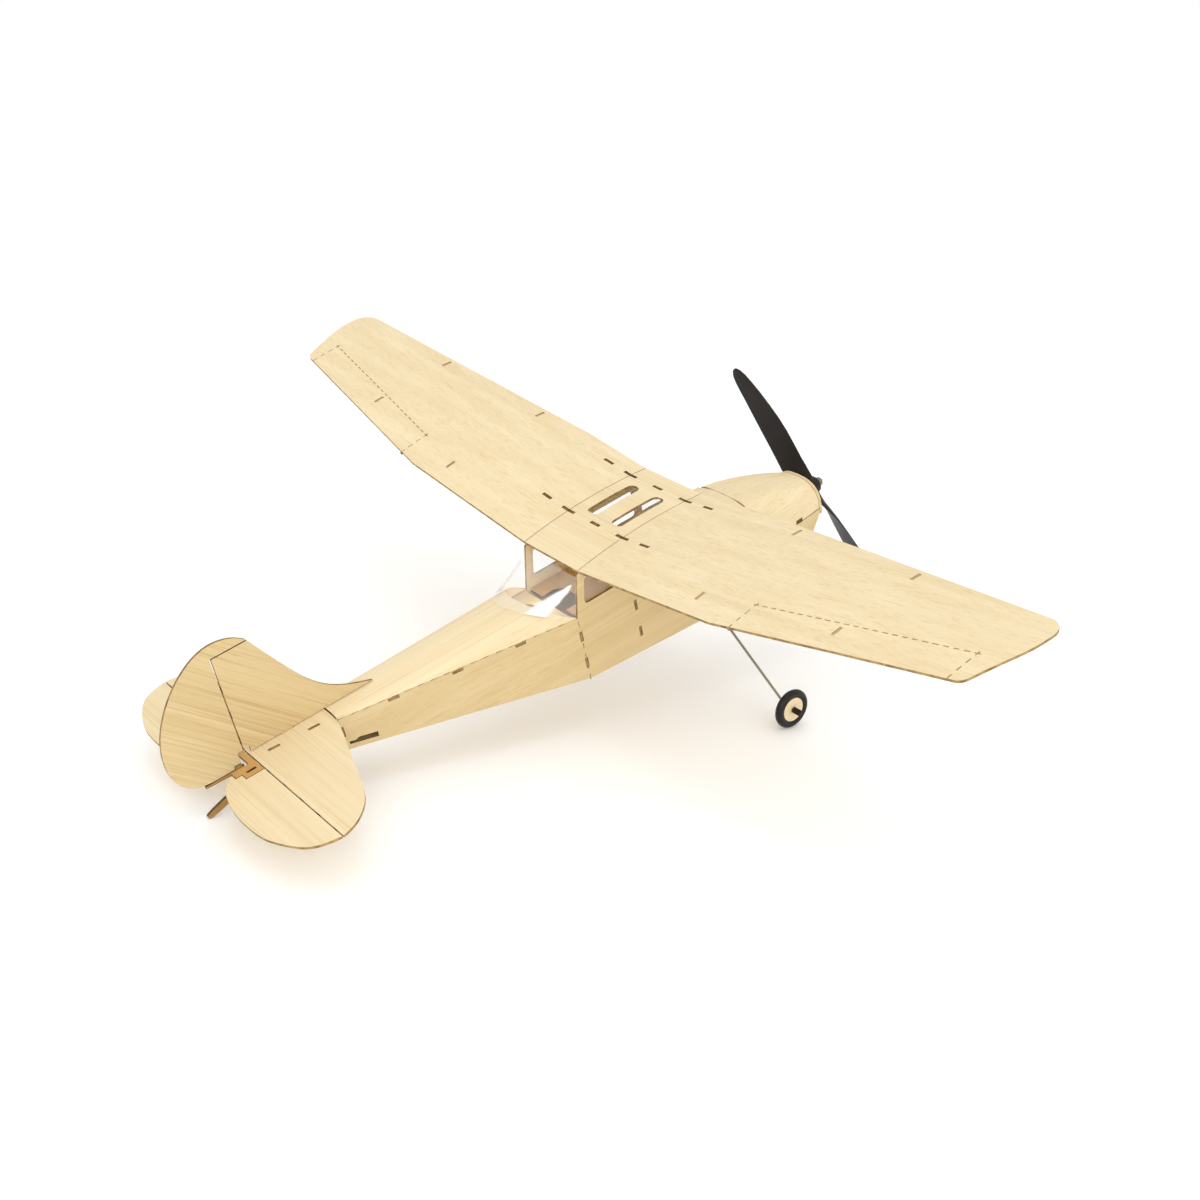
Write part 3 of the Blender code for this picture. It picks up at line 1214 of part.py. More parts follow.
def gear_wire(airframe):
    """One length of piano wire: axle, leg, cross bar, leg, axle."""
    port = [(axle_end_x(), WHEEL_Y, WHEEL_Z), (WHEEL_X - WIRE_LEG_INSET, WHEEL_Y, WHEEL_Z),
            (WIRE_BAR_HALF, WIRE_BAR_Y, wire_bar_z())]
    corners = port + [(-x, y, z) for x, y, z in reversed(port)]
    curve = bpy.data.curves.new("gear_wire", "CURVE")
    curve.dimensions = "3D"
    curve.bevel_depth = WIRE_RADIUS * MM
    curve.bevel_resolution = 3
    curve.use_fill_caps = True
    spline = curve.splines.new("POLY")
    path = bent_wire(corners, WIRE_BEND)
    spline.points.add(len(path) - 1)
    for point, place in zip(spline.points, path):
        point.co = (*(place * MM), 1.0)
    curve.materials.append(material("gear_wire", "steel_wire"))
    wire = bpy.data.objects.new("gear_wire", curve)
    wire.parent = airframe.frame
    bpy.context.collection.objects.link(wire)


def wire_bar_z():
    """Height of the wire's cross bar, just under the gear plate."""
    return belly(WIRE_BAR_Y) - GAP - WIRE_RADIUS - 0.1


def axle_end_x():
    return WHEEL_X + WHEEL_WIDTH / 2 + AXLE_STUB


def gear_strap():
    """Plywood saddle that holds the wire against the gear plate."""
    groove = WIRE_RADIUS + GAP
    top = wire_bar_z() + WIRE_RADIUS
    roof = wire_bar_z() - groove
    front, rear = WIRE_BAR_Y - STRAP_HALF_DEPTH, WIRE_BAR_Y + STRAP_HALF_DEPTH
    outline = [(front, top), (WIRE_BAR_Y - groove, top), (WIRE_BAR_Y - groove, roof),
               (WIRE_BAR_Y + groove, roof), (WIRE_BAR_Y + groove, top), (rear, top),
               (rear, roof - SHEET), (front, roof - SHEET)]
    return sheet(outline, [], STRAP_LENGTH, lengthwise(-STRAP_LENGTH / 2))


def across_axle(x_from, side):
    """Place a turned piece on the axle: height runs outboard from a station."""
    return lambda y, z, height: (side * (x_from + height), WHEEL_Y + y, WHEEL_Z + z)


def wheel_disc(side):
    """Wooden wheel centre with a round groove for its tyre."""
    seat_radius = WHEEL_RADIUS - TYRE_SECTION
    groove = TYRE_SECTION + GAP
    half = WHEEL_WIDTH / 2
    spread = asin(min(1.0, half / groove))
    rim = []
    for k in range(7):
        angle = -spread + 2 * spread * k / 6
        rim.append((seat_radius - groove * cos(angle), half + groove * sin(angle)))
    bore = WIRE_RADIUS + AXLE_CLEARANCE
    profile = [(bore, 0.0), *rim, (bore, WHEEL_WIDTH)]
    return turned(profile, across_axle(WHEEL_X - half, side), sides=32)


def tyre(side):
    """O-ring tyre."""
    major = WHEEL_RADIUS - TYRE_SECTION
    return turned(circle(major, 0.0, TYRE_SECTION, 12), across_axle(WHEEL_X, side), sides=40)


def wheel_collar(side):
    """Black cap glued on the end of the axle."""
    bore = WIRE_RADIUS + 0.15
    start = WHEEL_X + WHEEL_WIDTH / 2 + GAP
    depth = axle_end_x() - start + 0.3
    profile = [(bore, 0.0), (CAP_RADIUS, 0.0), (CAP_RADIUS, depth + 0.3), (CAP_RADIUS - 0.3, depth + 0.6),
               (0.0, depth + 0.6), (0.0, depth), (bore, depth)]
    return turned(profile, across_axle(start, side), sides=20)


def add_undercarriage(airframe):
    gear_wire(airframe)
    airframe.add("gear_strap", gear_strap(), "plywood")
    for side, hand in ((1, "left"), (-1, "right")):
        wheel = Body("wheel_axis_" + hand, (side * WHEEL_X, WHEEL_Y, WHEEL_Z), airframe)
        wheel.add("wheel_disc_" + hand, wheel_disc(side), "balsa", smooth_angle=30)
        wheel.add("tyre_" + hand, tyre(side), "rubber", smooth_angle=60)
        airframe.add("wheel_collar_" + hand, wheel_collar(side), "black_plastic", smooth_angle=30)


# ---------------------------------------------------------------------------
# Assembly
# ---------------------------------------------------------------------------

def ground_angle():
    """Nose-up angle at which the wheels and the skid's tip stand on one floor."""
    tip_y, tip_z = SKID_TIP
    base, drop = tip_y - WHEEL_Y, tip_z - WHEEL_Z
    return atan2(drop, base) + asin(WHEEL_RADIUS / hypot(base, drop))


def stand_on_floor(airframe):
    """Tilt the aircraft onto its wheels and skid and centre it over the origin."""
    airframe.frame.rotation_euler = (-ground_angle(), 0.0, 0.0)
    bpy.context.view_layer.update()
    depsgraph = bpy.context.evaluated_depsgraph_get()
    corners = []
    for obj in bpy.context.collection.objects:
        if obj.type == "EMPTY" or obj.hide_render:
            continue
        solid = obj.evaluated_get(depsgraph)
        mesh = solid.to_mesh()
        corners += [solid.matrix_world @ vert.co for vert in mesh.vertices]
        solid.to_mesh_clear()
    low = [min(corner[axis] for corner in corners) for axis in range(3)]
    high = [max(corner[axis] for corner in corners) for axis in range(3)]
    airframe.frame.location = (-(low[0] + high[0]) / 2, -(low[1] + high[1]) / 2, -low[2])
    bpy.context.view_layer.update()


def main():
    clear_scene()
    airframe = Body("airframe", (0.0, 0.0, 0.0))
    add_wing(airframe)
    add_fuselage(airframe)
    add_formers(airframe)
    add_bottom(airframe)
    add_tail(airframe)
    add_propeller(airframe)
    add_undercarriage(airframe)
    stand_on_floor(airframe)


main()
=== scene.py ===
"""Looks for the small sheet-balsa cabin monoplane: laser-cut balsa, birch ply, acetate glazing.

Everything is placed in the aircraft's own axes, in millimetres (nose along -Y, port wing along +X, up +Z,
origin at the front tab slot in the middle of the wing), and put into the frame by `at`.
"""

import json
from math import cos, pi, radians, sin

import bmesh
import bpy
import numpy as np
from mathutils import Matrix, Vector

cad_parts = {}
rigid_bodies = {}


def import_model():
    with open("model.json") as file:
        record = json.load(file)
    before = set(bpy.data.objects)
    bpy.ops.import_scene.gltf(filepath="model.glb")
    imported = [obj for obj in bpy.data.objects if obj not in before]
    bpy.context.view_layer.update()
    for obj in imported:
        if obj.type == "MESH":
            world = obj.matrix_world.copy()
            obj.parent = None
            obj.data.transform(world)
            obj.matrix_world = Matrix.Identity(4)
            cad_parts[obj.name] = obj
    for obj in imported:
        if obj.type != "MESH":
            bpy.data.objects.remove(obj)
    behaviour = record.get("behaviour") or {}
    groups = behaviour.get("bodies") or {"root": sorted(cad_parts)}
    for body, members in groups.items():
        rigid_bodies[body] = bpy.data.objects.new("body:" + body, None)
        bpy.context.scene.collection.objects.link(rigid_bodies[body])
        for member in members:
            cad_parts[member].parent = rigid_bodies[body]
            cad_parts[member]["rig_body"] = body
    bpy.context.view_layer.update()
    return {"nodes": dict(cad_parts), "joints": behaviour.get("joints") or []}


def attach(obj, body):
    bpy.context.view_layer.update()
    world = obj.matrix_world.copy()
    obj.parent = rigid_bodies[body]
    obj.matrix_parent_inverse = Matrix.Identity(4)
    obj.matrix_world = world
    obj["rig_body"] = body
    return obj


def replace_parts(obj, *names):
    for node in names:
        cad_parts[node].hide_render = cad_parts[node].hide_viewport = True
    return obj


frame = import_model()

MM = 0.001
NODES = frame["nodes"]
JOINTS = {joint["name"]: joint for joint in frame["joints"]}

# The aircraft's sizes that the looks follow, in millimetres
SHEET = 1.0
ELEVATOR_HINGE_Y = 188.4
ELEVATOR_HINGE_Z = -11.0
RUDDER_HINGE_Y = 189.4
RUDDER_HINGE_FOOT = -8.0
RUDDER_HINGE_HEAD = 29.9
BALANCE_DEPTH = 9.4
ELEVATOR_ROOT_X = 13.4
STAB_TOP_Z = -10.5
STAB_HALF_SPAN = 64.2
CABIN_REAR_Y = 58.0
CABIN_HALF_WIDTH = 16.6
TAIL_Y = 188.0
TAIL_HALF_WIDTH = 5.0
DECK_REAR_Y = 156.7
CABIN_JOINT_Z = -21.6
DECK_REAR_JOINT_Z = -12.2
BELLY_FOLD_Z = -49.7
PANEL_JOINT_X = 16.6
NOSE_Y = -69.2
SHOULDER_Y = -8.0
NOSE_HALF_WIDTH = 12.5
COWL_JOINT_Z = -41.0
COWL_TAB_Y = -57.0
DIHEDRAL_SLOPE = 0.1295
CAMBER = 0.0022
BRACE_REAR_Y = 31.4
WHEEL_RADIUS = 8.1
TYRE_SECTION = 1.6

# The aircraft's axes in the frame, from its two tail hinges
PORT = Vector(JOINTS["elevator_swing"]["axis"]).normalized()
UP = Vector(JOINTS["rudder_swing"]["axis"]).normalized()
AFT = UP.cross(PORT).normalized()
GROUND_ANGLE = AFT.angle(Vector((0.0, 1.0, 0.0)))
START = Vector(JOINTS["elevator_swing"]["pos_m"]) - (AFT * ELEVATOR_HINGE_Y + UP * ELEVATOR_HINGE_Z) * MM
AXES = {"port": PORT, "aft": AFT, "up": UP}


def at(x, y, z):
    """A point of the aircraft, in the frame."""
    return START + (PORT * x + AFT * y + UP * z) * MM


# ---------------------------------------------------------------------------
# Materials
# ---------------------------------------------------------------------------

def colour(code):
    """Linear colour of an sRGB hex value."""
    channels = [int(code[k:k + 2], 16) / 255 for k in (1, 3, 5)]
    return (*[c / 12.92 if c <= 0.04045 else ((c + 0.055) / 1.055) ** 2.4 for c in channels], 1.0)


def add_node(tree, kind, sockets=(), **settings):
    """A node with its settings; each socket gets a value, or a link from another node's output."""
    made = tree.nodes.new(kind)
    for name, value in settings.items():
        setattr(made, name, value)
    for key, value in dict(sockets).items():
        if isinstance(value, bpy.types.NodeSocket):
            tree.links.new(value, made.inputs[key])
        else:
            made.inputs[key].default_value = value
    return made


def new_material(name, **surface):
    """A material and its tree, with the values that are the same all over set on the shader."""
    made = bpy.data.materials.new(name)
    made.use_nodes = True
    shader = made.node_tree.nodes["Principled BSDF"]
    for socket, value in surface.items():
        shader.inputs[socket.replace("_", " ")].default_value = value
    return made, made.node_tree, shader


def blend_colours(tree, share, first, second):
    """Colour output that goes from first to second with the share."""
    made = add_node(tree, "ShaderNodeMix", {0: share, 6: first, 7: second}, data_type="RGBA")
    return made.outputs[2]


def spread(tree, value, low, high):
    """The value taken from low..high to 0..1, clamped."""
    made = add_node(tree, "ShaderNodeMapRange", {"Value": value, "From Min": low, "From Max": high})
    return made.outputs[0]


def cut_wood(name, pale, warm, streak, char, grain, facing, fibre_mm=(70.0, 0.5), strength=1.0, tilt=0.0,
             rolled=False):
    """Thin sheet wood, sanded on its faces and laser cut round its edges.

    The grain runs along the named axis (tilted up by tilt degrees): broad soft bands, fine
    fibres, and short dark pores. The cut edges are scorched brown; on a rolled sheet those are
    the edges that face along the aircraft.
    """
    made, tree, shader = new_material(name, Roughness=0.72, IOR=1.45)
    where = add_node(tree, "ShaderNodeTexCoord")
    turn = {"port": 0.0, "aft": -pi / 2}.get(grain, 0.0)
    along_grain = add_node(tree, "ShaderNodeMapping", {
        "Vector": where.outputs["Object"], "Rotation": (GROUND_ANGLE - radians(tilt), 0.0, turn),
        "Scale": (1 / MM, 1 / MM, 1 / MM)}).outputs[0]

    def grain_noise(length, width, detail, roughness=0.5, shift=0.0):
        stretched = add_node(tree, "ShaderNodeMapping", {
            "Vector": along_grain, "Location": (shift, shift, shift),
            "Scale": (1 / length, 1 / width, 1 / width)}).outputs[0]
        return add_node(tree, "ShaderNodeTexNoise", {
            "Vector": stretched, "Scale": 1.0, "Detail": detail, "Roughness": roughness}).outputs[0]

    def tinted(under, share, code, amount):
        weight = add_node(tree, "ShaderNodeMath", {0: share, 1: amount * strength}, operation="MULTIPLY")
        return blend_colours(tree, weight.outputs[0], under, colour(code))

    bands = spread(tree, grain_noise(260.0, 5.0, 3.0), 0.18, 0.86)
    fibres = spread(tree, grain_noise(*fibre_mm, 4.0, 0.6, 7.3), 0.42, 0.74)
    veins = spread(tree, grain_noise(90.0, 0.7, 2.0, 0.5, 3.1), 0.54, 0.70)
    pores = spread(tree, grain_noise(11.0, 0.22, 1.0, 0.5, 11.9), 0.62, 0.74)
    face = blend_colours(tree, bands, colour(pale), colour(warm))
    face = tinted(face, fibres, warm, 0.40)
    face = tinted(face, veins, streak, 0.24)
    face = tinted(face, pores, streak, 0.22)
    straight_on = add_node(tree, "ShaderNodeVectorMath", {
        0: where.outputs["Normal"], 1: AXES[facing]}, operation="DOT_PRODUCT").outputs["Value"]
    level = add_node(tree, "ShaderNodeMath", {0: straight_on}, operation="ABSOLUTE").outputs[0]
    cut = spread(tree, level, 0.75, 0.9) if rolled else spread(tree, level, 0.75, 0.6)
    soot = add_node(tree, "ShaderNodeTexNoise", {
        "Vector": along_grain, "Scale": 0.35, "Detail": 3.0}).outputs[0]
    scorched = blend_colours(tree, spread(tree, soot, 0.35, 0.68), colour(char), colour(streak))
    tree.links.new(blend_colours(tree, cut, face, scorched), shader.inputs["Base Color"])
    relief = add_node(tree, "ShaderNodeBump", {"Height": fibres, "Strength": 0.2, "Distance": 0.03 * MM})
    tree.links.new(relief.outputs[0], shader.inputs["Normal"])
    return made


BALSA = {"pale": "#E9D8B3", "warm": "#DBC599", "streak": "#B3925C", "char": "#7A6138"}
# Shaded copy of the balsa: painted shade, darker than the level sheets, for the sides, the tail, the
# underside and the inside pieces
SHADED_BALSA = {"pale": "#D7C193", "warm": "#C5AC7B", "streak": "#A5854F", "char": "#6E542E"}
PALE_CUT_BALSA = {**BALSA, "char": "#B59A68"}
NOSE_BALSA = {**BALSA, "streak": "#CDB281", "char": "#D6BF90"}
PLY = {"pale": "#CBA262", "warm": "#B68C4E", "streak": "#7A5628", "char": "#3A2810"}
# Shaded copy of the ply: painted shade for the ply pieces that stand upright
SHADED_PLY = {"pale": "#AF8A4C", "warm": "#99743B", "streak": "#6E4F25", "char": "#33240F"}


def balsa(name, grain, facing, stock=BALSA, **more):
    return cut_wood("balsa_" + name, grain=grain, facing=facing, **stock, **more)


def birch_ply(name, grain, facing, stock=PLY):
    return cut_wood("birch_ply_" + name, grain=grain, facing=facing, fibre_mm=(9.0, 0.35), **stock)


# Which way the rear window faces where a glare streak is painted into the film: painted highlight
FILM_GLARE_FACING = Vector((0.74, 0.46, 0.49)).normalized()


def cast_acetate():
    """Thin clear acetate film: a faint haze, bright glints, and a painted highlight, a white glare streak
    painted into the film on each side of the rear window.
    """
    made, tree, shader = new_material("acetate_clear_film", IOR=1.49, Coat_Weight=1.0, Coat_IOR=1.7,
                                      Coat_Roughness=0.04)
    shader.inputs["Base Color"].default_value = colour("#F4F6F5")
    where = add_node(tree, "ShaderNodeTexCoord")
    haze = add_node(tree, "ShaderNodeTexNoise", {
        "Vector": where.outputs["Object"], "Scale": 1 / (16 * MM), "Detail": 3.0}).outputs[0]
    rough = add_node(tree, "ShaderNodeMapRange", {
        "Value": haze, "From Min": 0.3, "From Max": 0.7, "To Min": 0.05, "To Max": 0.14}).outputs[0]
    tree.links.new(rough, shader.inputs["Roughness"])
    veil = add_node(tree, "ShaderNodeMapRange", {
        "Value": haze, "From Min": 0.35, "From Max": 0.7, "To Min": 0.06, "To Max": 0.13}).outputs[0]
    facing = add_node(tree, "ShaderNodeVectorMath", {
        0: where.outputs["Normal"]}, operation="ABSOLUTE").outputs[0]
    glare_facing = add_node(tree, "ShaderNodeVectorMath", {
        0: facing, 1: FILM_GLARE_FACING}, operation="DOT_PRODUCT").outputs["Value"]
    # Painted highlight: the film is whitened and made more opaque where it faces this way, standing in for
    # the glare of the lamps on it
    streak = add_node(tree, "ShaderNodeMath", {
        0: spread(tree, glare_facing, 0.952, 0.980), 1: 0.55}, operation="MULTIPLY").outputs[0]
    whole = add_node(tree, "ShaderNodeMath", {0: veil, 1: streak}, operation="ADD").outputs[0]
    tree.links.new(whole, shader.inputs["Alpha"])
    return made


def moulded_nylon():
    """Injection-moulded black nylon: satin, with the fine orange peel of the tool."""
    made, tree, shader = new_material("nylon_black_moulded", IOR=1.53, Roughness=0.42,
                                      Specular_IOR_Level=0.22)
    where = add_node(tree, "ShaderNodeTexCoord")
    peel = add_node(tree, "ShaderNodeTexNoise", {
        "Vector": where.outputs["Object"], "Scale": 1 / (0.6 * MM), "Detail": 3.0}).outputs[0]
    tone = add_node(tree, "ShaderNodeTexNoise", {
        "Vector": where.outputs["Object"], "Scale": 1 / (9 * MM), "Detail": 2.0}).outputs[0]
    black = blend_colours(tree, tone, colour("#120E0B"), colour("#221B16"))
    tree.links.new(black, shader.inputs["Base Color"])
    relief = add_node(tree, "ShaderNodeBump", {"Height": peel, "Strength": 0.25, "Distance": 0.04 * MM})
    tree.links.new(relief.outputs[0], shader.inputs["Normal"])
    return made


def nitrile_rubber():
    """Nitrile O-ring: soft dark sheen with a dusty bloom."""
    made, tree, shader = new_material("nitrile_o_ring", IOR=1.52, Specular_IOR_Level=0.3)
    where = add_node(tree, "ShaderNodeTexCoord")
    bloom = add_node(tree, "ShaderNodeTexNoise", {
        "Vector": where.outputs["Object"], "Scale": 1 / (2.5 * MM), "Detail": 4.0,
        "Roughness": 0.6}).outputs[0]
    black = blend_colours(tree, bloom, colour("#0B0908"), colour("#191513"))
    tree.links.new(black, shader.inputs["Base Color"])
    rough = add_node(tree, "ShaderNodeMapRange", {"Value": bloom, "To Min": 0.30, "To Max": 0.48}).outputs[0]
    tree.links.new(rough, shader.inputs["Roughness"])
    return made


def drawn_metal(name, light, dark, roughness, line_mm):
    """Drawn metal: fine lines along the aircraft's length and a little dulling."""
    made, tree, shader = new_material(name, Metallic=1.0)
    where = add_node(tree, "ShaderNodeTexCoord")
    lines = add_node(tree, "ShaderNodeMapping", {
        "Vector": where.outputs["Object"], "Rotation": (GROUND_ANGLE, 0.0, 0.0),
        "Scale": (1 / (line_mm * MM), 1 / (12 * MM), 1 / (line_mm * MM))}).outputs[0]
    noise = add_node(tree, "ShaderNodeTexNoise", {"Vector": lines, "Scale": 1.0, "Detail": 3.0}).outputs[0]
    tree.links.new(blend_colours(tree, noise, colour(light), colour(dark)), shader.inputs["Base Color"])
    rough = add_node(tree, "ShaderNodeMapRange", {
        "Value": noise, "To Min": roughness, "To Max": roughness + 0.18}).outputs[0]
    tree.links.new(rough, shader.inputs["Roughness"])
    return made


def laser_char(name, light, dark):
    """Burnt bottom of a laser cut: matt brown, darker where the beam stopped."""
    made, tree, shader = new_material(name, Roughness=0.85, IOR=1.5)
    where = add_node(tree, "ShaderNodeTexCoord")
    noise = add_node(tree, "ShaderNodeTexNoise", {
        "Vector": where.outputs["Object"], "Scale": 1 / (1.1 * MM), "Detail": 2.0}).outputs[0]
    tree.links.new(blend_colours(tree, spread(tree, noise, 0.35, 0.65), colour(light), colour(dark)),
                   shader.inputs["Base Color"])
    return made


WING_BALSA = balsa("spanwise_level", "port", "up")
# The tail, the sides, the floors and the formers take the shaded copy of the balsa: painted shade
TAIL_BALSA = balsa("fin", "aft", "port", SHADED_BALSA, tilt=46.0, strength=1.7)
RIB_BALSA = balsa("ribs", "aft", "port", PALE_CUT_BALSA)
SIDE_BALSA = balsa("lengthwise_upright", "aft", "port", SHADED_BALSA)
FLOOR_BALSA = balsa("lengthwise_level", "aft", "up", SHADED_BALSA)
DECK_BALSA = balsa("lengthwise_rolled", "aft", "aft", rolled=True)
FORMER_BALSA = balsa("crosswise_upright", "port", "aft", SHADED_BALSA)
PALE_FORMER = balsa("nose_ring", "port", "aft", NOSE_BALSA)
COWL_BALSA = balsa("cowl_rolled", "aft", "aft", PALE_CUT_BALSA, rolled=True)
DISC_BALSA = balsa("wheel", "aft", "port")
LEVEL_PLY = birch_ply("level", "port", "up")
# The upright ply takes the shaded copy of the ply: painted shade
SIDE_PLY = birch_ply("lengthwise", "aft", "port", SHADED_PLY)
CROSS_PLY = birch_ply("crosswise", "port", "aft")
ACETATE = cast_acetate()
NYLON = moulded_nylon()
RUBBER = nitrile_rubber()
WIRE = drawn_metal("spring_steel_wire", "#A39E88", "#5E5A4A", 0.28, 0.12)
CAN = drawn_metal("nickel_plated_can", "#B9B8B2", "#8F8E88", 0.22, 0.3)
SCORE = laser_char("laser_scored_dashes", "#AE935F", "#86693A")
KERF = laser_char("laser_cut_kerf", "#A88C5A", "#8A6E40")
DEEP_SCORE = laser_char("laser_cut_hinge_slots", "#6B5230", "#3B2A14")


FINISHES = {
    "wing_centre_section": WING_BALSA, "wing_panel_left": WING_BALSA, "wing_panel_right": WING_BALSA,
    "stabilizer": WING_BALSA, "elevator_left": WING_BALSA, "elevator_right": WING_BALSA,
    "front_wing_brace": CROSS_PLY, "rear_wing_brace": CROSS_PLY, "motor_former": CROSS_PLY,
    "inner_rib_left": RIB_BALSA, "inner_rib_right": RIB_BALSA,
    "outer_rib_left": RIB_BALSA, "outer_rib_right": RIB_BALSA,
    "fuselage_side_left": SIDE_BALSA, "fuselage_side_right": SIDE_BALSA,
    "nose_plate": PALE_FORMER, "dash_former": FORMER_BALSA, "front_cabin_former": FORMER_BALSA,
    "mid_cabin_former": FORMER_BALSA, "rear_cabin_former": FORMER_BALSA, "tail_former": FORMER_BALSA,
    "sternpost": FORMER_BALSA, "nose_bottom": FLOOR_BALSA, "cabin_belly": FLOOR_BALSA,
    "tail_bottom": FLOOR_BALSA, "tail_crutch": FLOOR_BALSA, "cowl_deck": COWL_BALSA,
    "dash_deck": DECK_BALSA, "turtle_deck": DECK_BALSA, "gear_plate": LEVEL_PLY,
    "equipment_tray": LEVEL_PLY, "elevator_joiner": LEVEL_PLY, "gear_strap": SIDE_PLY,
    "tail_skid": SIDE_PLY, "rudder_insert": SIDE_PLY, "fin": TAIL_BALSA, "rudder": TAIL_BALSA,
    "windscreen": ACETATE, "rear_window": ACETATE, "side_window_left": ACETATE, "side_window_right": ACETATE,
    "gear_wire": WIRE, "prop_shaft": WIRE, "motor": CAN, "prop_collar": CAN, "prop_nut": WIRE,
    "propeller": NYLON, "wheel_collar_left": NYLON, "wheel_collar_right": NYLON,
    "wheel_disc_left": DISC_BALSA, "wheel_disc_right": DISC_BALSA, "tyre_left": RUBBER, "tyre_right": RUBBER,
}
for node, finish in FINISHES.items():
    slots = NODES[node].data.materials
    slots.clear()
    slots.append(finish)


# ---------------------------------------------------------------------------
# Pieces
# ---------------------------------------------------------------------------

def piece(name, mesh, body, material=None):
    """A finished mesh in the frame's own coordinates, linked and riding on its body."""
    if material is not None:
        mesh.materials.clear()
        mesh.materials.append(material)
    made = bpy.data.objects.new(name, mesh)
    bpy.context.scene.collection.objects.link(made)
    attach(made, body)
    return made


def body_of_node(node):
    return NODES[node]["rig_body"]


def smooth_piece(node, angle=35.0):
    """A CAD node's shape with its loose triangles joined up and its rounds shaded smooth."""
    bm = bmesh.new()
    bm.from_mesh(NODES[node].data)
    bmesh.ops.remove_doubles(bm, verts=bm.verts[:], dist=2e-6)
    mesh = bpy.data.meshes.new(node + "_finished")
    bm.to_mesh(mesh)
    bm.free()
    mesh.shade_smooth()
    mesh.set_sharp_from_angle(angle=radians(angle))
    made = piece(node + "_finished", mesh, body_of_node(node), FINISHES[node])
    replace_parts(made, node)
    return made


def sheet_loops(node, facing):
    """The outline and the openings of a flat sheet's face, as loops of points in order."""
    bm = bmesh.new()
    bm.from_mesh(NODES[node].data)
    bmesh.ops.remove_doubles(bm, verts=bm.verts[:], dist=2e-6)
    bm.normal_update()
    face_side = {face for face in bm.faces if face.normal.dot(AXES[facing]) > 0.99}
    onward = {}
    for face in face_side:
        for loop in face.loops:
            if len([other for other in loop.edge.link_faces if other in face_side]) == 1:
                onward[loop.vert] = loop.link_loop_next.vert
    loops = []
    while onward:
        first = next(iter(onward))
        vert, points = first, []
        while vert in onward:
            points.append(vert.co.copy())
            vert = onward.pop(vert)
        loops.append(points)
    bm.free()
    return loops


def eased(points, step=0.7 * MM, passes=60, keen=radians(50.0)):
    """A closed outline drawn again as flowing curves between its keen corners."""
    count = len(points)
    corners = [k for k in range(count)
               if (points[k - 1] - points[k]).angle(points[(k + 1) % count] - points[k], 0.0) < pi - keen]
    result = []
    for first, last in zip(corners, corners[1:] + [corners[0] + count]):
        stretch = [points[k % count] for k in range(first, last + 1)]
        fine = []
        for start, end in zip(stretch, stretch[1:]):
            pieces = max(1, round((end - start).length / step)) if len(stretch) > 2 else 1
            fine += [start.lerp(end, k / pieces) for k in range(pieces)]
        fine = np.array([*fine, stretch[-1]])
        for _ in range(passes):
            fine[1:-1] = (fine[:-2] + 2 * fine[1:-1] + fine[2:]) / 4
        result += [Vector(point) for point in fine[:-1]]
    return result


def soft_sheet(node, facing):
    """A flat sheet cut again from its own outline with smooth curves."""
    bm = bmesh.new()
    drop = AXES[facing] * (SHEET * MM)
    caps = ([], [])
    for points in sheet_loops(node, facing):
        points = eased(points)
        count = len(points)
        top = [bm.verts.new(point) for point in points]
        under = [bm.verts.new(point - drop) for point in points]
        for k in range(count):
            bm.faces.new((top[k], under[k], under[(k + 1) % count], top[(k + 1) % count]))
        for edges, ring in zip(caps, (top, under)):
            edges += [bm.edges.get((ring[k], ring[(k + 1) % count])) for k in range(count)]
    for edges in caps:
        bmesh.ops.triangle_fill(bm, edges=edges, use_beauty=True)
    bmesh.ops.recalc_face_normals(bm, faces=bm.faces[:])
    mesh = bpy.data.meshes.new(node + "_finished")
    bm.to_mesh(mesh)
    bm.free()
    mesh.shade_smooth()
    mesh.set_sharp_from_angle(angle=radians(35.0))
    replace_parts(piece(node + "_finished", mesh, body_of_node(node), FINISHES[node]), node)


for node, facing in (("stabilizer", "up"), ("elevator_left", "up"), ("elevator_right", "up"),
                     ("fin", "port"), ("rudder", "port")):
    soft_sheet(node, facing)

for node, slot in (("wing_centre_section", "balsa"), ("wing_panel_left", "balsa"),
                   ("wing_panel_right", "balsa"), ("cowl_deck", "balsa"), ("dash_deck", "balsa"),
                   ("turtle_deck", "balsa"),
                   ("windscreen", "acetate"), ("rear_window", "acetate"), ("propeller", "black_plastic"),
                   ("gear_wire", "steel_wire"), ("prop_shaft", "steel_wire"), ("motor", "motor_can"),
                   ("prop_collar", "motor_can"), ("prop_nut", "motor_can"),
                   ("wheel_collar_left", "black_plastic"), ("wheel_collar_right", "black_plastic"),
                   ("wheel_disc_left", "balsa"), ("wheel_disc_right", "balsa")):
    smooth_piece(node)


# ---------------------------------------------------------------------------
# Geometry Nodes: dashes that follow a line, and the ring of a tyre
# ---------------------------------------------------------------------------

def new_geometry_tree(name, inputs):
    """An empty tree with a geometry in and out and the named size inputs."""
    tree = bpy.data.node_groups.new(name, "GeometryNodeTree")
    tree.interface.new_socket("Geometry", in_out="INPUT", socket_type="NodeSocketGeometry")
    for label, kind in inputs:
        tree.interface.new_socket(label, in_out="INPUT", socket_type=kind)
    tree.interface.new_socket("Geometry", in_out="OUTPUT", socket_type="NodeSocketGeometry")
    return tree, add_node(tree, "NodeGroupInput"), tree.nodes.new("NodeGroupOutput")


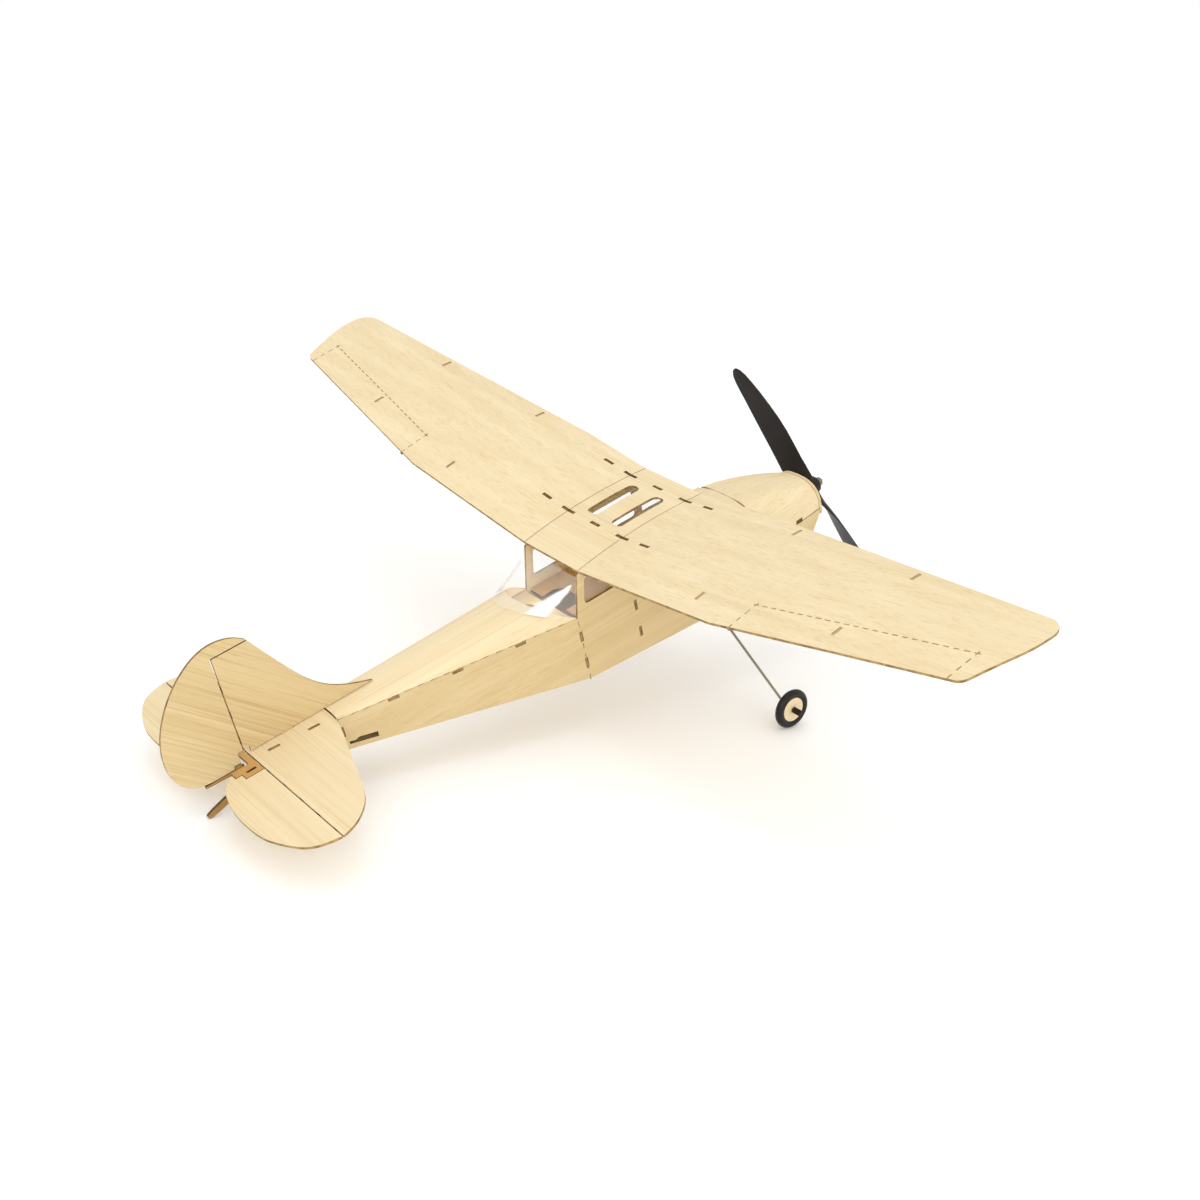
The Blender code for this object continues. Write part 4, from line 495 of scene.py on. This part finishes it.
def laser_dash_tree():
    """Short cuts set out at a pitch along a line, each lying along it and facing out of the sheet."""
    tree, given, out = new_geometry_tree("laser_dashes", [
        ("Pitch", "NodeSocketFloat"), ("Dash length", "NodeSocketFloat"), ("Dash width", "NodeSocketFloat"),
        ("Depth", "NodeSocketFloat"), ("Uneven", "NodeSocketFloat"), ("Seed", "NodeSocketInt"),
        ("Material", "NodeSocketMaterial")])
    line = add_node(tree, "GeometryNodeMeshToCurve", {"Mesh": given.outputs["Geometry"]})
    spaced = add_node(tree, "GeometryNodeResampleCurve", {
        "Curve": line.outputs[0], "Length": given.outputs["Pitch"]}, mode="LENGTH")
    size = add_node(tree, "ShaderNodeCombineXYZ", {
        0: given.outputs["Dash length"], 1: given.outputs["Dash width"], 2: given.outputs["Depth"]})
    dash = add_node(tree, "GeometryNodeMeshCube", {"Size": size.outputs[0]})
    facing = add_node(tree, "GeometryNodeInputNamedAttribute", {"Name": "facing"}, data_type="FLOAT_VECTOR")
    tangent = add_node(tree, "GeometryNodeInputTangent")
    turn = add_node(tree, "FunctionNodeAxesToRotation", {
        "Primary Axis": facing.outputs[0], "Secondary Axis": tangent.outputs[0]},
        primary_axis="Z", secondary_axis="X")
    shortest = add_node(tree, "ShaderNodeMath", {0: 1.0, 1: given.outputs["Uneven"]}, operation="SUBTRACT")
    longest = add_node(tree, "ShaderNodeMath", {0: 1.0, 1: given.outputs["Uneven"]}, operation="ADD")
    length = add_node(tree, "FunctionNodeRandomValue", {
        "Min": shortest.outputs[0], "Max": longest.outputs[0],
        "Seed": given.outputs["Seed"]}, data_type="FLOAT")
    scale = add_node(tree, "ShaderNodeCombineXYZ", {0: length.outputs["Value"], 1: 1.0, 2: 1.0})
    set_out = add_node(tree, "GeometryNodeInstanceOnPoints", {
        "Points": spaced.outputs[0], "Instance": dash.outputs["Mesh"], "Rotation": turn.outputs[0],
        "Scale": scale.outputs[0]})
    solid = add_node(tree, "GeometryNodeRealizeInstances", {"Geometry": set_out.outputs[0]})
    finished = add_node(tree, "GeometryNodeSetMaterial", {
        "Geometry": solid.outputs[0], "Material": given.outputs["Material"]})
    tree.links.new(finished.outputs[0], out.inputs[0])
    return tree


def o_ring_tree():
    """A round ring of a round section, about the X axis."""
    tree, given, out = new_geometry_tree("o_ring", [
        ("Ring radius", "NodeSocketFloat"), ("Section radius", "NodeSocketFloat"),
        ("Material", "NodeSocketMaterial")])
    ring = add_node(tree, "GeometryNodeCurvePrimitiveCircle", {
        "Resolution": 96, "Radius": given.outputs["Ring radius"]})
    section = add_node(tree, "GeometryNodeCurvePrimitiveCircle", {
        "Resolution": 24, "Radius": given.outputs["Section radius"]})
    swept = add_node(tree, "GeometryNodeCurveToMesh", {
        "Curve": ring.outputs[0], "Profile Curve": section.outputs[0]})
    rolled = add_node(tree, "GeometryNodeTransform", {
        "Geometry": swept.outputs[0], "Rotation": (0.0, pi / 2, 0.0)})
    smooth = add_node(tree, "GeometryNodeSetShadeSmooth", {"Geometry": rolled.outputs[0]})
    solid = add_node(tree, "GeometryNodeRealizeInstances", {"Geometry": smooth.outputs[0]})
    finished = add_node(tree, "GeometryNodeSetMaterial", {
        "Geometry": solid.outputs[0], "Material": given.outputs["Material"]})
    tree.links.new(finished.outputs[0], out.inputs[0])
    return tree


def grow(tree, mesh, **values):
    """The mesh that a tree makes from a start mesh, with the named inputs set by their identifiers."""
    start = bpy.data.objects.new("start", mesh)
    bpy.context.scene.collection.objects.link(start)
    modifier = start.modifiers.new("made", "NODES")
    modifier.node_group = tree
    names = {item.name: item.identifier for item in tree.interface.items_tree
             if item.item_type == "SOCKET" and item.in_out == "INPUT"}
    for label, value in values.items():
        modifier[names[label.replace("_", " ")]] = value
    bpy.context.view_layer.update()
    depsgraph = bpy.context.evaluated_depsgraph_get()
    made = bpy.data.meshes.new_from_object(start.evaluated_get(depsgraph), depsgraph=depsgraph)
    start.modifiers.remove(modifier)
    bpy.data.objects.remove(start)
    return made


DASHES = laser_dash_tree()
O_RING = o_ring_tree()


def line_mesh(lines, facings):
    """Separate open lines as edges, each vertex with the direction its surface faces."""
    mesh = bpy.data.meshes.new("lines")
    verts, edges, normals = [], [], []
    for line, facing in zip(lines, facings):
        start = len(verts)
        verts += [tuple(at(*point)) for point in line]
        edges += [(start + k, start + k + 1) for k in range(len(line) - 1)]
        normals += [tuple(facing(*point)) for point in line]
    mesh.from_pydata(verts, edges, [])
    attribute = mesh.attributes.new("facing", "FLOAT_VECTOR", "POINT")
    attribute.data.foreach_set("vector", np.array(normals, dtype=np.float32).ravel())
    return mesh


def path(*corners, step=1.0):
    """Points every millimetre or so along straight stretches between corners."""
    points = [corners[0]]
    for first, second in zip(corners, corners[1:]):
        length = (Vector(second) - Vector(first)).length
        count = max(1, round(length / step))
        points += [tuple(Vector(first).lerp(Vector(second), k / count)) for k in range(1, count + 1)]
    return points


def wing_mid(x, y):
    """Middle of the wing sheet's thickness."""
    rise = DIHEDRAL_SLOPE * max(0.0, abs(x) - PANEL_JOINT_X)
    return rise - CAMBER * y * (y - BRACE_REAR_Y) - SHEET / 2


def wing_facing(x, y, z):
    """Which way the wing sheet faces at a point."""
    slope_x = DIHEDRAL_SLOPE * (1 if x > PANEL_JOINT_X else -1 if x < -PANEL_JOINT_X else 0)
    slope_y = -CAMBER * (2 * y - BRACE_REAR_Y)
    return (UP - PORT * slope_x - AFT * slope_y).normalized()


def facing_port(x, y, z):
    return PORT


def facing_up(x, y, z):
    return UP


def dashes(name, body, lines, facings, pitch, dash, width, depth, seed, material, uneven=0.12):
    """One mesh of laser dashes along some lines, riding on a body."""
    mesh = grow(DASHES, line_mesh(lines, facings), Pitch=pitch * MM, Dash_length=dash * MM,
                Dash_width=width * MM, Depth=depth * MM, Uneven=uneven, Seed=seed, Material=material)
    return piece(name, mesh, body)


# Ailerons, marked by dashes on three sides
AILERON_INNER_X = 101.0
AILERON_OUTER_X = 187.0
AILERON_FRONT = (39.6, 27.3)
AILERON_REAR = (52.0, 39.7)
THROUGH = SHEET + 0.1
for number, (side, hand) in enumerate(((1, "left"), (-1, "right"))):
    corners = [(AILERON_INNER_X, AILERON_REAR[0]), (AILERON_INNER_X, AILERON_FRONT[0]),
               (AILERON_OUTER_X, AILERON_FRONT[1]), (AILERON_OUTER_X, AILERON_REAR[1])]
    stretches = []
    for (x1, y1), (x2, y2) in zip(corners, corners[1:]):
        flat = path((side * x1, y1, 0.0), (side * x2, y2, 0.0))
        stretches.append([(x, y, wing_mid(x, y)) for x, y, _ in flat])
    dashes("aileron_dashes_" + hand, "airframe", stretches, [wing_facing] * 3, pitch=3.7, dash=2.2,
           width=0.4, depth=THROUGH, seed=11 + number, material=SCORE)


def nose_half_width(y):
    """Half-width of the fuselage ahead of the cabin."""
    share = (y - NOSE_Y) / (SHOULDER_Y - NOSE_Y)
    return NOSE_HALF_WIDTH + (CABIN_HALF_WIDTH - NOSE_HALF_WIDTH) * share


def half_width(y):
    """Half-width of the fuselage from the cabin to the tail."""
    share = min(1.0, max(0.0, (y - CABIN_REAR_Y) / (TAIL_Y - CABIN_REAR_Y)))
    return CABIN_HALF_WIDTH + (TAIL_HALF_WIDTH - CABIN_HALF_WIDTH) * share


def strip(name, body, along, width, thick, across, material):
    """A thin strip of a rectangular section laid along points, its width along the across axis."""
    bm = bmesh.new()
    rings = []
    side = AXES[across] * (width / 2 * MM)
    for k, point in enumerate(along):
        ahead = at(*along[min(k + 1, len(along) - 1)]) - at(*along[max(k - 1, 0)])
        lift = ahead.cross(side).normalized() * (thick / 2 * MM)
        rings.append([bm.verts.new(at(*point) + u * side + v * lift)
                      for u, v in ((1, 1), (-1, 1), (-1, -1), (1, -1))])
    for first, second in zip(rings, rings[1:]):
        for k in range(4):
            bm.faces.new((first[k], first[(k + 1) % 4], second[(k + 1) % 4], second[k]))
    bm.faces.new(rings[0][::-1])
    bm.faces.new(rings[-1])
    bmesh.ops.recalc_face_normals(bm, faces=bm.faces[:])
    mesh = bpy.data.meshes.new(name)
    bm.to_mesh(mesh)
    bm.free()
    return piece(name, mesh, body, material)


# Hinges of the rudder and elevators: the charred edge left in the cut on the fixed side, with
# deeper slots at a wide pitch
HINGE_EDGE = 0.24
HINGE_SETBACK = HINGE_EDGE / 2 + 0.01
EDGE_THICK = 0.98 * SHEET
HINGE_SLOTS = {"pitch": 9.0, "width": HINGE_EDGE, "depth": SHEET + 0.04, "material": DEEP_SCORE}
hinge_y = RUDDER_HINGE_Y - HINGE_SETBACK
foot = (0.0, hinge_y, RUDDER_HINGE_FOOT + 1.0)
head = (0.0, hinge_y, RUDDER_HINGE_HEAD - BALANCE_DEPTH)
strip("rudder_hinge_edge", "airframe", path(foot, head, step=4.0), EDGE_THICK, HINGE_EDGE, "port", KERF)
dashes("rudder_hinge_slots", "airframe", [path(foot, head)[3:-3]], [facing_port], dash=3.0, seed=21,
       **HINGE_SLOTS)
hinge_y = ELEVATOR_HINGE_Y - HINGE_SETBACK
for side, hand in ((1, "left"), (-1, "right")):
    hinge = [(side * x, hinge_y, STAB_TOP_Z - SHEET / 2)
             for x in (ELEVATOR_ROOT_X, 30.0, 46.0, STAB_HALF_SPAN - 0.6)]
    strip("elevator_hinge_edge_" + hand, "airframe", hinge, EDGE_THICK, HINGE_EDGE, "up", KERF)
    dashes("elevator_hinge_slots_" + hand, "airframe", [path(hinge[0], hinge[-1])[2:-4]], [facing_up],
           dash=2.8, seed=22, **HINGE_SLOTS)

# The seam under the turtle deck, closed by glue and marked by short dashes, and the dashed fold of the
# sides behind the cabin
SEAM_INSET = 0.36
SEAM_MARK_INSET = 0.1
FOLD_MARK_INSET = 0.08
MARK_DEPTH = 0.3
for side, hand in ((1, "left"), (-1, "right")):
    stations = np.linspace(CABIN_REAR_Y + 0.6, DECK_REAR_Y - 0.4, 25)
    share = (stations - CABIN_REAR_Y) / (DECK_REAR_Y - CABIN_REAR_Y)
    joint = CABIN_JOINT_Z + (DECK_REAR_JOINT_Z - CABIN_JOINT_Z) * share
    seam = [(side * (half_width(y) - SEAM_INSET), float(y), float(z)) for y, z in zip(stations, joint)]
    strip("deck_seam_" + hand, "airframe", seam, 0.26, 0.62, "up", SIDE_BALSA)
    marks = [(side * (half_width(y) - SEAM_MARK_INSET), y, z) for _, y, z in seam]
    seam_line = [tuple(point) for first, second in zip(marks, marks[1:])
                 for point in path(first, second)[:-1]]
    dashes("deck_seam_dashes_" + hand, "airframe", [seam_line[6:]], [facing_port], pitch=5.2, dash=3.2,
           width=0.3, depth=MARK_DEPTH, seed=31, material=SCORE, uneven=0.1)
    wall = side * (CABIN_HALF_WIDTH - FOLD_MARK_INSET)
    fold = path((wall, CABIN_REAR_Y, CABIN_JOINT_Z - 3.0), (wall, CABIN_REAR_Y, BELLY_FOLD_Z + 0.8))
    dashes("fold_dashes_" + hand, "airframe", [fold], [facing_port], pitch=4.4, dash=2.4, width=0.4,
           depth=MARK_DEPTH, seed=33, material=SCORE, uneven=0.1)

# Locating tabs of the cowl, showing as charred ends in the notches of its lower edge
COWL_TAB_HALF = 1.7
for side, hand in ((1, "left"), (-1, "right")):
    wall = side * (nose_half_width(COWL_TAB_Y) - 0.2)
    tab = [(wall, COWL_TAB_Y + step, COWL_JOINT_Z + 0.6) for step in (-COWL_TAB_HALF, COWL_TAB_HALF)]
    strip("cowl_tab_" + hand, "airframe", tab, 1.7, 0.7, "up", DEEP_SCORE)

# Ring tyres
for side, hand in ((1, "left"), (-1, "right")):
    axle = Vector(JOINTS["wheel_%s_spin" % hand]["pos_m"])
    mesh = grow(O_RING, bpy.data.meshes.new("none"), Ring_radius=(WHEEL_RADIUS - TYRE_SECTION) * MM,
                Section_radius=TYRE_SECTION * MM, Material=RUBBER)
    mesh.transform(Matrix.Translation(axle))
    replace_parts(piece("o_ring_" + hand, mesh, "wheel_" + hand), "tyre_" + hand)


# ---------------------------------------------------------------------------
# Floor, light and camera
# ---------------------------------------------------------------------------

floor_mesh = bpy.data.meshes.new("studio_floor")
floor_mesh.from_pydata([(-9, -9, 0), (9, -9, 0), (9, 9, 0), (-9, 9, 0)], [], [(0, 1, 2, 3)])
floor = bpy.data.objects.new("studio_floor", floor_mesh)
bpy.context.scene.collection.objects.link(floor)
paper, _, paper_shader = new_material("pale_paper_floor", Roughness=0.9)
paper_shader.inputs["Base Color"].default_value = colour("#FFFFFF")
floor_mesh.materials.append(paper)

world = bpy.data.worlds.new("soft_studio")
bpy.context.scene.world = world
world.use_nodes = True
world.node_tree.nodes["Background"].inputs["Color"].default_value = colour("#FFFFFF")
world.node_tree.nodes["Background"].inputs["Strength"].default_value = 1.0


def soft_box(name, place, aim, size, power):
    """A square studio light at a place in the frame, aimed at a point."""
    lamp = bpy.data.lights.new(name, "AREA")
    lamp.shape = "SQUARE"
    lamp.size = size
    lamp.energy = power
    made = bpy.data.objects.new(name, lamp)
    made.location = place
    made.rotation_euler = (Vector(aim) - Vector(place)).to_track_quat("-Z", "Y").to_euler()
    bpy.context.scene.collection.objects.link(made)
    return made


soft_box("key_light", (-0.2, 0.5, 1.5), (0.0, 0.0, 0.0), 1.8, 2.0)
soft_box("glint_light", (-0.15, 0.25, 1.3), (0.0, 0.05, 0.08), 0.3, 0.7)
soft_box("cabin_fill", (-0.75, 0.7, 0.5), (0.0, 0.0, 0.06), 0.4, 2.2)
soft_box("side_light", (-1.4, 0.3, 0.5), (0.0, 0.0, 0.05), 0.9, 3.0)

# Daylight that comes through the thin sheet and fills the cabin
glow = bpy.data.lights.new("cabin_glow", "POINT")
glow.energy = 0.008
glow.shadow_soft_size = 0.008
glow.color = (1.0, 0.93, 0.82)
cabin_glow = bpy.data.objects.new("cabin_glow", glow)
cabin_glow.location = at(0.0, CABIN_REAR_Y + 5.0, CABIN_JOINT_Z + 1.0)
bpy.context.scene.collection.objects.link(cabin_glow)

lens = bpy.data.cameras.new("camera")
lens.lens = 52.50
lens.sensor_width = 36.0
lens.clip_start = 0.01
camera = bpy.data.objects.new("camera", lens)
camera.location = (-0.4809, 0.36816, 0.31217)
camera.rotation_euler = (radians(66.869), radians(-3.759), radians(-128.008))
bpy.context.scene.collection.objects.link(camera)
bpy.context.scene.camera = camera
bpy.context.scene.view_settings.view_transform = "Standard"
